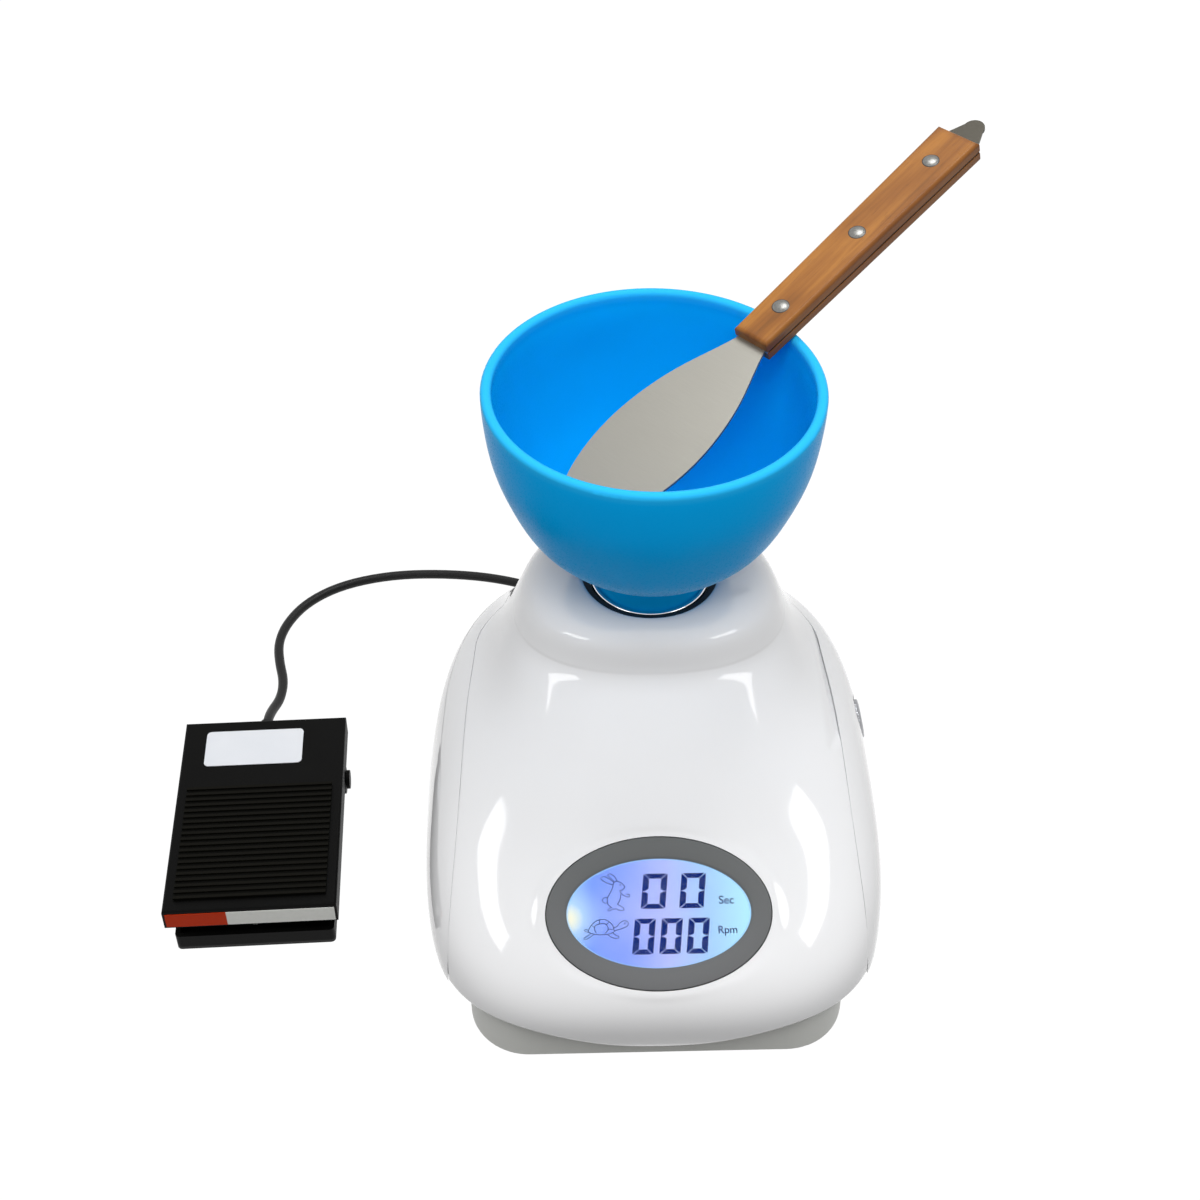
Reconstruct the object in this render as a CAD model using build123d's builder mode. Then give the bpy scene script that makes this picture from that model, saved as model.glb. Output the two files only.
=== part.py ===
from build123d import *
from math import cos, hypot, pi, radians, sin, sqrt, tan
import os

# Dental impression mixer with its mixing bowl, spatula and foot pedal.
# Millimetres, +Z up, the display faces -Y. The origin lies on the table, under the spindle.

os.makedirs("parts", exist_ok=True)

# ---------------------------------------------------------------- driving dimensions

# Housing: the outline is taken at a row of heights. Each station is
# (height, half width, reach forward, reach back, widest line, front fullness, back fullness).
HOUSING = (
    (20.0, 87.6, 141.0, 65.5, -40.0, 3.8, 2.4),
    (30.0, 89.2, 140.6, 68.5, -39.0, 3.8, 2.4),
    (44.0, 89.2, 130.6, 70.6, -35.0, 3.8, 2.4),
    (58.0, 86.8, 109.0, 69.4, -28.0, 3.8, 2.4),
    (70.0, 82.8, 89.4, 66.0, -18.0, 3.6, 2.4),
    (80.0, 76.0, 78.8, 59.8, -8.0, 3.2, 2.4),
    (88.0, 67.5, 69.8, 55.0, -2.0, 2.6, 2.3),
    (97.0, 60.6, 59.6, 54.0, 0.0, 2.2, 2.1),
    (104.0, 56.9, 51.8, 54.0, 0.0, 2.1, 2.0),
    (110.0, 54.2, 45.8, 53.4, 0.0, 2.0, 2.0),
    (118.0, 50.9, 41.0, 51.2, 0.0, 2.0, 2.0),
    (126.0, 47.8, 39.6, 47.8, 0.0, 2.0, 2.0),
    (134.0, 44.6, 38.4, 44.6, 0.0, 2.0, 2.0),
)
OUTLINE_POINTS = 36
shell_wall = 2.6
lip_height = 20.0
lip_corner_height = 27.0
lip_reach_back = 43.0
chin_half_width = 60.0
neck_top = 130.4
neck_opening_radius = 26.5
dome_radius = 48.7
seam_gap = 0.35
neck_disc_radius = 59.0
# Side seam between hood and rear shell, from the shoulder to the front corner.
SIDE_SEAM = (
    (57.0, 15.2),
    (61.8, 16.8),
    (66.3, 13.2),
    (69.4, 1.0),
    (71.5, -20.0),
    (73.0, -42.0),
    (74.2, -62.0),
    (76.5, -88.0),
    (78.5, -108.0),
    (80.0, -150.0),
)

# Base tray
tray_half_width = 72.0
tray_front = 133.0
tray_back = 56.0
tray_corner = 23.0
tray_back_corner = 40.0
tray_lift = 1.2
tray_floor = 3.0
tray_wall = 2.6
tray_top = 28.8
ring_width = 84.0
ring_length = 150.0
ring_corner = 20.0
ring_band = 8.0
ring_thickness = 2.4
ring_centre_y = -36.5
vent_length = 26.0
vent_width = 3.0
vent_pitch = 7.0
vent_count = 5

# Fixing posts: hood front pair, hood side pair, rear shell pair.
HOOD_POSTS = ((-50.0, -118.0), (50.0, -118.0), (-59.0, -12.0), (59.0, -12.0))
REAR_POSTS = ((-48.0, 42.5), (48.0, 42.5))
post_radius = 4.5
post_pilot_radius = 1.55
post_pilot_depth = 15.0
seat_pad_radius = 6.0
seat_pad_height = 4.0
screw_radius = 1.5
screw_head_radius = 2.8
screw_head_height = 2.0
screw_hole_radius = 1.75
screw_recess_radius = 3.2
screw_recess_depth = 3.4

# Spindle
shaft_radius = 6.0
shaft_bottom = 40.0
bearing_outer_radius = 14.0
bearing_height = 8.0
bearing_running_gap = 0.04
housing_tube_radius = 19.0
bridge_height = 62.0
bridge_thickness = 4.0
bridge_width = 98.0
bridge_depth = 76.0
housing_top = 103.0
MOTOR_POSTS = ((-31.0, -80.0), (31.0, -80.0), (-31.0, -44.0), (31.0, -44.0))
motor_post_radius = 4.5
BRIDGE_POSTS = ((-40.0, -29.0), (40.0, -29.0), (-40.0, 29.0), (40.0, 29.0))
bridge_post_radius = 6.0
seat_inner_radius = 21.3
seat_wall = 2.1
seat_top = 128.6
seat_floor_top = 115.0
seat_floor_thickness = 3.0
seat_hub_radius = 9.5
seal_gap = 0.5
seal_height = 3.4

# Belt drive
spindle_pulley_radius = 30.0
motor_pulley_radius = 9.5
pulley_height = 9.0
pulley_bottom = 43.0
belt_radius = 1.6
belt_seat_depth = 2.2
belt_clearance = 0.25
motor_centre_y = -62.0
motor_radius = 23.0
motor_bottom = 6.5
motor_top = 36.0
motor_shaft_radius = 2.5
bracket_thickness = 2.5
bracket_width = 72.0
bracket_depth = 47.0
motor_boss_radius = 7.0

# Electronics in the tray
BOARDS = ((-54.5, -71.0), (54.5, -71.0))
board_width = 24.0
board_length = 66.0
standoff_height = 6.0
# Parts on the boards: (board, across, along, size across, size along, height)
BLOCKS = (
    (0, 0.0, 14.0, 14.0, 18.0, 15.0),
    (0, 1.0, -3.0, 12.0, 8.0, 10.0),
    (1, 0.0, 4.0, 10.0, 10.0, 2.4),
    (1, -3.0, -12.0, 10.0, 6.0, 8.0),
    (1, 2.0, 17.0, 8.0, 12.0, 11.0),
)
CANS = ((0, -4.0, -14.5, 4.5, 16.0), (0, 6.5, -13.0, 3.5, 12.0), (1, 5.0, -12.0, 2.6, 8.0))
transformer_y = -112.0
transformer_width = 40.0
transformer_stack = 14.0
transformer_height = 19.0
winding_margin = 4.0

# Display, on the sloping face
display_y = -109.6
display_z = 57.4
display_slope = 32.0
bezel_half_width = 42.0
bezel_half_height = 28.3
bezel_proud = 0.6
bezel_depth = 5.0
bezel_clearance = 0.3
flange_margin = 3.2
flange_thickness = 1.5
window_half_width = 33.6
window_half_height = 19.7
window_sunk = 0.5
window_thickness = 1.4
window_ledge = 1.2
glass_thickness = 2.6
backlight_thickness = 2.4
board_thickness = 1.6

# Speed knob, on the right side
knob_y = -15.0
knob_z = 60.0
knob_x = 86.2
knob_tilt = 14.0
knob_radius = 8.6
knob_height = 9.0
knob_standing_out = 4.0
knob_clearance = 1.6
cup_wall = 2.2
knob_shaft_radius = 3.0
encoder_side = 13.0
encoder_depth = 7.0

# Rear panel
panel_half_width = 43.0
panel_top = 66.0
panel_face_y = 61.0
panel_thickness = 2.6
inlet_x = 24.0
inlet_z = 50.5
inlet_width = 27.0
inlet_height = 19.6
inlet_depth = 20.0
inlet_flange = 2.0
inlet_flange_thickness = 2.0
inlet_cavity_width = 24.0
inlet_cavity_height = 16.2
inlet_cavity_depth = 17.0
pin_width = 2.0
pin_height = 4.2
pin_length = 11.5
pin_spread = 7.0
drawer_z = 35.0
module_rim = 1.5
drawer_width = 20.0
drawer_height = 7.4
drawer_length = 15.0
drawer_gap = 0.35
drawer_face_thickness = 1.6
fuse_radius = 2.6
fuse_length = 12.0
rocker_x = -4.0
rocker_z = 46.0
rocker_width = 10.0
rocker_height = 18.0
rocker_frame_wall = 2.0
rocker_frame_depth = 14.0
rocker_gap = 0.4
rocker_rest_tilt = 7.0
rocker_pivot_depth = 3.0
socket_x = -28.0
socket_z = 41.0
socket_radius = 6.5
socket_bore_radius = 3.3
plug_tip_radius = 3.15

# Mixing bowl: outer profile as (radius, height), from the foot to the rim.
BOWL_OUTER = (
    (21.0, 136.6),
    (29.7, 144.0),
    (38.8, 152.0),
    (47.5, 162.0),
    (54.3, 176.0),
    (59.4, 192.0),
    (61.4, 206.0),
    (62.0, 217.0),
)
bowl_wall = 4.0
bowl_rim_height = 219.0
bowl_foot_radius = 21.0
bowl_foot_gap = 0.3
bowl_floor = 141.5
core_radius = 14.0
core_top = 134.0

# Spatula, lying on the rim: azimuth and slope of the handle, and its end next to the blade.
handle_azimuth = 43.3
handle_slope = 17.2
handle_start = (36.6, 22.4, 219.7)
handle_length = 121.0
handle_near_width = 15.6
handle_far_width = 19.4
scale_thickness = 4.1
tang_thickness = 1.1
blade_length = 100.0
# Half widths of the blade, by distance from the handle.
BLADE_SHAPE = ((0.0, 6.4), (8.0, 9.2), (22.0, 14.6), (38.0, 18.6), (56.0, 20.0), (76.0, 17.2), (92.0, 10.0))
tab_length = 13.0
tab_tip_radius = 4.2
RIVET_PLACES = (17.0, 60.5, 104.0)
rivet_radius = 2.9
rivet_proud = 0.35

# Foot pedal
pedal_x = -161.0
pedal_y = -28.5
pedal_turn = 2.0
treadle_width = 68.5
treadle_length = 101.5
treadle_top = 26.0
treadle_sheet = 2.0
treadle_lip_bottom = 15.8
pedal_base_width = 63.4
pedal_base_length = 99.0
pedal_sole_thickness = 1.5
pedal_base_floor = 2.0
pedal_base_wall = 2.0
pedal_base_front_height = 8.0
pedal_base_back_height = 19.0
hinge_y = 25.0
hinge_z = 14.0
hinge_pin_radius = 2.5
hinge_pin_clearance = 0.05
hinge_pin_overhang = 0.3
hinge_head_radius = 4.0
hinge_head_thickness = 1.4
hinge_ear_radius = 6.0
pad_width = 60.0
pad_length = 58.0
pad_centre_y = -16.5
pad_base = 0.7
pad_rib_height = 0.7
pad_rib_width = 1.3
pad_rib_count = 20
label_width = 41.0
label_length = 19.5
label_x = -4.0
label_y = 34.8
label_thickness = 0.25
strip_height = 7.6
strip_thickness = 0.25
spring_y = -36.0
spring_radius = 6.0
spring_wire = 0.6
spring_turns = 6
switch_y = -14.0
switch_body = (10.3, 27.8, 15.9)
plunger_radius = 1.6
plunger_gap = 0.3
plunger_travel = 4.2
gland_x = -2.5
gland_z = 10.0
gland_radius = 4.6
gland_length = 8.0

# Pedal cable
cable_radius = 2.2
cable_rest = 2.3
coil_centre = (12.0, 99.0)
coil_mean_radius = 22.5
coil_bundle_radius = 9.4
coil_winding_radius = 7.1
coil_turns = 7.75
coil_first_phase = -40.0
coil_phase_sweep = -285.0
plug_body_radius = 5.6
plug_body_length = 20.0
plug_sleeve_radius = 3.6
plug_sleeve_length = 8.0
plug_shoulder_gap = 2.3
plug_tip_length = 17.0
cable_lead = 7.0


# ---------------------------------------------------------------- shared shapes


def write(part, node):
    """Labels a finished piece and writes its file."""
    part.label = node
    export_step(part, f"parts/{node}.step")


def outline_points(station, inset):
    """Points of a rounded-square outline, seen from its own middle, at one station."""
    height, half_width, front, back, middle, front_fullness, back_fullness = station
    points = []
    for step in range(OUTLINE_POINTS):
        angle = 2 * pi * step / OUTLINE_POINTS
        ahead = sin(angle) < 0
        reach = (front + middle if ahead else back - middle) - inset
        fullness = front_fullness if ahead else back_fullness
        across = abs(cos(angle)) / (half_width - inset)
        along = abs(sin(angle)) / reach
        radius = (across**fullness + along**fullness) ** (-1 / fullness)
        points.append((radius * cos(angle), middle + radius * sin(angle)))
    return points


def housing_body(inset):
    """The housing as one solid, with its outside moved in and down by the inset."""
    with BuildPart() as body:
        for station in HOUSING:
            with BuildSketch(Plane.XY.offset(station[0] - inset)):
                with BuildLine():
                    Spline(*outline_points(station, inset), periodic=True)
                make_face()
        loft()
        # The neck ends in a dome.
        dome_centre = (neck_opening_radius, neck_top - inset - dome_radius)
        outer_reach = neck_opening_radius + dome_radius * sin(radians(43))
        outer_drop = dome_centre[1] + dome_radius * cos(radians(43))
        middle_reach = neck_opening_radius + dome_radius * sin(radians(20))
        middle_drop = dome_centre[1] + dome_radius * cos(radians(20))
        above = neck_top + 20
        with BuildSketch(Plane.XZ):
            with BuildLine():
                Line((0, neck_top - inset), (neck_opening_radius, neck_top - inset))
                ThreePointArc(
                    (neck_opening_radius, neck_top - inset),
                    (middle_reach, middle_drop),
                    (outer_reach, outer_drop),
                )
                Line((outer_reach, outer_drop), (outer_reach, above))
                Line((outer_reach, above), (0, above))
                Line((0, above), (0, neck_top - inset))
            make_face()
        revolve(axis=Axis.Z, mode=Mode.SUBTRACT)
    return body.part


def hood_outline(margin):
    """Plan of the hood: the neck disc joined to the front, out to the side seams."""
    right = [(x + margin, y + margin) for x, y in SIDE_SEAM]
    left = [(-x, y) for x, y in reversed(right)]
    with BuildSketch() as plan:
        with BuildLine():
            Spline(*right)
            Line(right[-1], left[0])
            Spline(*left)
            Line(left[-1], right[0])
        make_face()
        Circle(neck_disc_radius + margin)
    return plan.sketch


housing_outer = housing_body(0)
housing_middle = housing_body(shell_wall / 2)
housing_inner = housing_body(shell_wall)

# Places that several pieces share
floor_top = tray_lift + tray_floor
pad_top = floor_top + seat_pad_height
display_plane = Plane(
    origin=(0, display_y, display_z),
    x_dir=(1, 0, 0),
    z_dir=(0, -sin(radians(display_slope)), cos(radians(display_slope))),
)
knob_plane = Plane(
    origin=(knob_x, knob_y, knob_z),
    x_dir=(0, 1, 0),
    z_dir=(cos(radians(knob_tilt)), 0, sin(radians(knob_tilt))),
)
flange_back = bezel_depth + flange_thickness
tray_centre_y = (tray_back - tray_front) / 2
module_bottom = drawer_z - drawer_height / 2 - module_rim
module_top = inlet_z + inlet_height / 2
module_height = module_top - module_bottom
module_z = (module_top + module_bottom) / 2


# ---------------------------------------------------------------- base tray


def tray_outline(inset):
    """Plan of the tray, moved in by the inset. Its back corners are rounder than its front ones."""
    with BuildSketch() as plan:
        with Locations((0, tray_centre_y)):
            Rectangle(2 * (tray_half_width - inset), tray_front + tray_back - 2 * inset)
        fillet(plan.vertices().group_by(Axis.Y)[0], tray_corner - inset)
        fillet(plan.vertices().group_by(Axis.Y)[-1], tray_back_corner - inset)
    return plan.sketch


with BuildPart() as base_tray:
    with BuildSketch(Plane.XY.offset(tray_lift)):
        add(tray_outline(0))
    extrude(amount=tray_top - tray_lift)
    fillet(base_tray.faces().sort_by(Axis.Z)[0].edges(), 1.0)
    with BuildSketch(Plane.XY.offset(floor_top)):
        add(tray_outline(tray_wall))
    extrude(amount=tray_top, mode=Mode.SUBTRACT)
    # Seat pads under the shell posts, and the four columns of the bearing bridge
    with BuildSketch(Plane.XY.offset(floor_top)):
        with Locations(*HOOD_POSTS, *REAR_POSTS):
            Circle(seat_pad_radius)
    extrude(amount=seat_pad_height)
    with BuildSketch(Plane.XY.offset(floor_top)):
        with Locations(*BRIDGE_POSTS):
            Circle(bridge_post_radius)
    extrude(amount=bridge_height - floor_top)
    with BuildSketch(Plane.XY.offset(floor_top)):
        with Locations(*MOTOR_POSTS):
            Circle(motor_post_radius)
    extrude(amount=motor_top - floor_top)
    # Groove for the non-slip ring
    with BuildSketch(Plane.XY.offset(tray_lift)):
        with Locations((0, ring_centre_y)):
            RectangleRounded(ring_width, ring_length, ring_corner)
            RectangleRounded(
                ring_width - 2 * ring_band,
                ring_length - 2 * ring_band,
                ring_corner - ring_band,
                mode=Mode.SUBTRACT,
            )
    extrude(amount=ring_thickness - tray_lift, mode=Mode.SUBTRACT)
    # Screw holes and their recesses
    with BuildSketch(Plane.XY):
        with Locations(*HOOD_POSTS, *REAR_POSTS):
            Circle(screw_hole_radius)
    extrude(amount=pad_top + 1, mode=Mode.SUBTRACT)
    with BuildSketch(Plane.XY.offset(tray_lift)):
        with Locations(*HOOD_POSTS, *REAR_POSTS):
            Circle(screw_recess_radius)
    extrude(amount=screw_recess_depth, mode=Mode.SUBTRACT)
    # Pilot holes in the columns
    with BuildSketch(Plane.XY.offset(bridge_height - post_pilot_depth)):
        with Locations(*BRIDGE_POSTS):
            Circle(post_pilot_radius)
    extrude(amount=post_pilot_depth, mode=Mode.SUBTRACT)
    with BuildSketch(Plane.XY.offset(motor_top - post_pilot_depth)):
        with Locations(*MOTOR_POSTS):
            Circle(post_pilot_radius)
    extrude(amount=post_pilot_depth, mode=Mode.SUBTRACT)
    # Air slots in the floor
    with BuildSketch(Plane.XY):
        with Locations((0, 20)):
            with GridLocations(0, vent_pitch, 1, vent_count):
                SlotOverall(vent_length, vent_width)
    extrude(amount=floor_top + 1, mode=Mode.SUBTRACT)
write(base_tray.part, "base_tray")

with BuildPart() as nonslip_ring:
    with BuildSketch():
        with Locations((0, ring_centre_y)):
            RectangleRounded(ring_width, ring_length, ring_corner)
            RectangleRounded(
                ring_width - 2 * ring_band,
                ring_length - 2 * ring_band,
                ring_corner - ring_band,
                mode=Mode.SUBTRACT,
            )
    extrude(amount=ring_thickness)
write(nonslip_ring.part, "nonslip_ring")


# ---------------------------------------------------------------- shells


def shell_posts(places):
    """Screw posts that reach from the seat pads up into the shell wall."""
    with BuildPart() as posts:
        with BuildSketch(Plane.XY.offset(pad_top)):
            with Locations(*places):
                Circle(post_radius)
        extrude(amount=neck_top)
        add(housing_middle, mode=Mode.INTERSECT)
    return posts.part


with BuildPart() as front_hood:
    add(housing_outer)
    add(housing_inner, mode=Mode.SUBTRACT)
    with BuildSketch():
        add(hood_outline(0))
    extrude(amount=neck_top + 10, mode=Mode.INTERSECT)
    # The lower edge rises from the chin to the corners.
    with BuildSketch(Plane.XZ.offset(-lip_reach_back)):
        with BuildLine():
            Spline(
                (-2 * chin_half_width, lip_corner_height),
                (-chin_half_width, lip_corner_height - 1),
                (-chin_half_width / 2, lip_height + 1.6),
                (0, lip_height + 0.2),
                (chin_half_width / 2, lip_height + 1.6),
                (chin_half_width, lip_corner_height - 1),
                (2 * chin_half_width, lip_corner_height),
            )
            Line((2 * chin_half_width, lip_corner_height), (2 * chin_half_width, -1))
            Line((2 * chin_half_width, -1), (-2 * chin_half_width, -1))
            Line((-2 * chin_half_width, -1), (-2 * chin_half_width, lip_corner_height))
        make_face()
    extrude(amount=300, mode=Mode.SUBTRACT)
    add(shell_posts(HOOD_POSTS))
    # Neck opening
    with BuildSketch(Plane.XY.offset(neck_top - 30)):
        Circle(neck_opening_radius)
    extrude(amount=60, mode=Mode.SUBTRACT)
    # Display opening
    with BuildSketch(display_plane.offset(-flange_back)):
        Ellipse(bezel_half_width + bezel_clearance, bezel_half_height + bezel_clearance)
    extrude(amount=20, mode=Mode.SUBTRACT)
    with BuildSketch(Plane.XY.offset(pad_top)):
        with Locations(*HOOD_POSTS):
            Circle(post_pilot_radius)
    extrude(amount=post_pilot_depth, mode=Mode.SUBTRACT)
write(front_hood.part, "front_hood")

cup_radius = knob_radius + knob_clearance
cup_depth = knob_height - knob_standing_out + 0.5

# Blocks behind the rear panel and around the knob cup, trimmed to the middle of the shell wall
with BuildPart() as wall_blocks:
    with BuildSketch(Plane.XY.offset(lip_corner_height)):
        with Locations((0, panel_face_y - panel_thickness)):
            Rectangle(2 * (panel_half_width + panel_thickness), 40, align=(Align.CENTER, Align.MIN))
    extrude(amount=panel_top + panel_thickness - lip_corner_height)
    with BuildSketch(knob_plane.offset(-cup_depth - cup_wall)):
        Circle(cup_radius + cup_wall)
    extrude(amount=cup_depth + cup_wall + 10)
    add(housing_middle, mode=Mode.INTERSECT)

with BuildPart() as rear_shell:
    add(housing_outer)
    add(housing_inner, mode=Mode.SUBTRACT)
    with BuildSketch():
        add(hood_outline(seam_gap))
    extrude(amount=neck_top + 10, mode=Mode.SUBTRACT)
    with BuildSketch():
        Rectangle(4 * tray_front, 4 * tray_front)
    extrude(amount=lip_corner_height, mode=Mode.SUBTRACT)
    add(wall_blocks.part)
    add(shell_posts(REAR_POSTS))
    with BuildSketch():
        with Locations((0, panel_face_y)):
            Rectangle(2 * panel_half_width, 40, align=(Align.CENTER, Align.MIN))
    extrude(amount=panel_top, mode=Mode.SUBTRACT)
    with BuildSketch(knob_plane.offset(-cup_depth)):
        Circle(cup_radius)
    extrude(amount=30, mode=Mode.SUBTRACT)
    with BuildSketch(knob_plane.offset(-cup_depth - 2 * cup_wall)):
        Circle(knob_shaft_radius + 1.6)
    extrude(amount=20, mode=Mode.SUBTRACT)
    with BuildSketch(Plane.XY.offset(pad_top)):
        with Locations(*REAR_POSTS):
            Circle(post_pilot_radius)
    extrude(amount=post_pilot_depth, mode=Mode.SUBTRACT)
    # Openings in the rear panel
    with BuildSketch(Plane.XZ.offset(-panel_face_y)):
        with Locations((inlet_x, module_z)):
            Rectangle(inlet_width, module_height)
        with Locations((rocker_x, rocker_z)):
            Rectangle(rocker_width + 2 * rocker_frame_wall, rocker_height + 2 * rocker_frame_wall)
        with Locations((socket_x, socket_z)):
            Circle(socket_radius)
    extrude(amount=2 * panel_thickness, mode=Mode.SUBTRACT)
write(rear_shell.part, "rear_shell")


# ---------------------------------------------------------------- screws


def pan_screws(planes, shank, radius=screw_radius, head=screw_head_radius):
    """Socket screws: each head stands on its plane, and the shank goes down into it."""
    with BuildPart() as screws:
        for plane in planes:
            with BuildSketch(plane):
                Circle(head)
            extrude(amount=screw_head_height)
            with BuildSketch(plane.offset(screw_head_height)):
                RegularPolygon(head * 0.5, 6)
            extrude(amount=-screw_head_height * 0.6, mode=Mode.SUBTRACT)
            with BuildSketch(plane):
                Circle(radius)
            extrude(amount=-shank)
    return screws.part


def upright(places, height):
    """Planes that face up, at a row of places and one height."""
    return [Plane(origin=(x, y, height), x_dir=(1, 0, 0), z_dir=(0, 0, 1)) for x, y in places]


tray_screw_planes = [
    Plane(origin=(x, y, tray_lift + screw_recess_depth), x_dir=(1, 0, 0), z_dir=(0, 0, -1))
    for x, y in HOOD_POSTS + REAR_POSTS
]
write(pan_screws(tray_screw_planes, pad_top + post_pilot_depth - 8), "tray_screws")
bridge_screw_planes = upright(BRIDGE_POSTS, bridge_height + bridge_thickness)
write(pan_screws(bridge_screw_planes, bridge_thickness + post_pilot_depth - 3), "housing_screws")
motor_screw_planes = upright(MOTOR_POSTS, motor_top + bracket_thickness)
write(pan_screws(motor_screw_planes, bracket_thickness + post_pilot_depth - 3), "motor_screws")


# ---------------------------------------------------------------- spindle and its bearings

upper_bearing_base = housing_top - 1 - bearing_height

with BuildPart() as bearing_housing:
    with BuildSketch(Plane.XY.offset(bridge_height)):
        RectangleRounded(bridge_width, bridge_depth, 10)
    extrude(amount=bridge_thickness)
    with BuildSketch(Plane.XY.offset(bridge_height)):
        Circle(housing_tube_radius)
    extrude(amount=housing_top - bridge_height)
    fillet(bearing_housing.edges().filter_by(GeomType.CIRCLE).group_by(Axis.Z)[-1], 0.8)
    with BuildSketch(Plane.XY.offset(bridge_height)):
        Circle(bearing_outer_radius - 3)
    extrude(amount=housing_top, mode=Mode.SUBTRACT)
    with BuildSketch(Plane.XY.offset(bridge_height)):
        Circle(bearing_outer_radius)
    extrude(amount=bearing_height, mode=Mode.SUBTRACT)
    with BuildSketch(Plane.XY.offset(upper_bearing_base)):
        Circle(bearing_outer_radius)
    extrude(amount=bearing_height + 2, mode=Mode.SUBTRACT)
    with BuildSketch(Plane.XY.offset(bridge_height)):
        with Locations(*BRIDGE_POSTS):
            Circle(screw_hole_radius)
    extrude(amount=bridge_thickness, mode=Mode.SUBTRACT)
write(bearing_housing.part, "bearing_housing")


def bearing(base, node):
    """A ball bearing as one ring, with a groove on each face between its races."""
    race_middle = (bearing_outer_radius + shaft_radius) / 2
    with BuildPart() as ring:
        with BuildSketch(Plane.XY.offset(base)):
            Circle(bearing_outer_radius)
            Circle(shaft_radius + bearing_running_gap, mode=Mode.SUBTRACT)
        extrude(amount=bearing_height)
        for face_height in (base, base + bearing_height - 0.8):
            with BuildSketch(Plane.XY.offset(face_height)):
                Circle(race_middle + 1.6)
                Circle(race_middle - 1.6, mode=Mode.SUBTRACT)
            extrude(amount=0.8, mode=Mode.SUBTRACT)
    write(ring.part, node)


bearing(upper_bearing_base, "upper_bearing")
bearing(bridge_height, "lower_bearing")

with BuildPart() as spindle_shaft:
    with BuildSketch(Plane.XY.offset(shaft_bottom)):
        Circle(shaft_radius)
    extrude(amount=seat_floor_top - 0.5 - shaft_bottom)
    chamfer(spindle_shaft.edges().group_by(Axis.Z)[0], 0.8)
write(spindle_shaft.part, "spindle_shaft")

seat_outer_radius = seat_inner_radius + seat_wall
seat_hub_bottom = housing_top + 1.2

with BuildPart() as bowl_seat:
    with BuildSketch(Plane.XZ):
        with BuildLine():
            Polyline(
                (shaft_radius, seat_hub_bottom),
                (seat_hub_radius, seat_hub_bottom),
                (seat_hub_radius, seat_floor_top - seat_floor_thickness - 2),
                (seat_hub_radius + 2, seat_floor_top - seat_floor_thickness),
                (seat_outer_radius - 2, seat_floor_top - seat_floor_thickness),
                (seat_outer_radius, seat_floor_top - seat_floor_thickness + 2),
                (seat_outer_radius, seat_top - 1),
            )
            RadiusArc((seat_outer_radius, seat_top - 1), (seat_outer_radius - 1, seat_top), -1)
            Line((seat_outer_radius - 1, seat_top), (seat_inner_radius + 0.6, seat_top))
            Line((seat_inner_radius + 0.6, seat_top), (seat_inner_radius, seat_top - 0.6))
            Polyline(
                (seat_inner_radius, seat_top - 0.6),
                (seat_inner_radius, seat_floor_top),
                (shaft_radius, seat_floor_top),
                (shaft_radius, seat_hub_bottom),
            )
        make_face()
    revolve(axis=Axis.Z)
write(bowl_seat.part, "bowl_seat")

with BuildPart() as neck_seal:
    with BuildSketch(Plane.XZ):
        with BuildLine():
            seal_inner = seat_outer_radius + seal_gap
            seal_top = neck_top - 0.8
            Polyline(
                (seal_inner, seal_top - 1.2),
                (seal_inner, seal_top - seal_height),
                (neck_opening_radius, seal_top - seal_height),
                (neck_opening_radius, seal_top),
                (seal_inner, seal_top - 1.2),
            )
        make_face()
    revolve(axis=Axis.Z)
write(neck_seal.part, "neck_seal")


# ---------------------------------------------------------------- belt drive

belt_height = pulley_bottom + pulley_height / 2


def belt_line(pulley_radius):
    """Radius of the belt's middle where it lies in a pulley's groove."""
    return pulley_radius - belt_seat_depth + belt_clearance + belt_radius


def pulley(centre_y, radius, bore, hub_radius, hub_top, node):
    """A grooved pulley with a hub above it."""
    with BuildPart() as wheel:
        with BuildSketch(Plane.XY.offset(pulley_bottom)):
            with Locations((0, centre_y)):
                Circle(radius)
        extrude(amount=pulley_height)
        fillet(wheel.edges().filter_by(GeomType.CIRCLE), 0.5)
        with BuildSketch(Plane.XY.offset(pulley_bottom + pulley_height)):
            with Locations((0, centre_y)):
                Circle(hub_radius)
        extrude(amount=hub_top - pulley_bottom - pulley_height)
        with BuildSketch(Plane.YZ):
            with Locations((centre_y + belt_line(radius), belt_height)):
                Circle(belt_radius + belt_clearance)
            with Locations((centre_y + radius + 1, belt_height)):
                Rectangle(4, 2 * (belt_radius + belt_clearance))
        revolve(axis=Axis((0, centre_y, 0), (0, 0, 1)), mode=Mode.SUBTRACT)
        if radius > 3 * hub_radius:
            with BuildSketch(Plane.XY.offset(pulley_bottom)):
                with Locations((0, centre_y)):
                    with PolarLocations((radius + hub_radius) / 2 - 0.5, 6):
                        Circle(radius / 5.5)
            extrude(amount=pulley_height, mode=Mode.SUBTRACT)
        with BuildSketch(Plane.XY.offset(pulley_bottom)):
            with Locations((0, centre_y)):
                Circle(bore)
        extrude(amount=hub_top, mode=Mode.SUBTRACT)
    write(wheel.part, node)


spindle_hub_top = bridge_height - 0.4
motor_shaft_top = pulley_bottom + pulley_height + 3
pulley(0, spindle_pulley_radius, shaft_radius, shaft_radius + 3, spindle_hub_top, "spindle_pulley")
pulley(motor_centre_y, motor_pulley_radius, motor_shaft_radius, 4.5, motor_shaft_top - 1, "motor_pulley")

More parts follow.
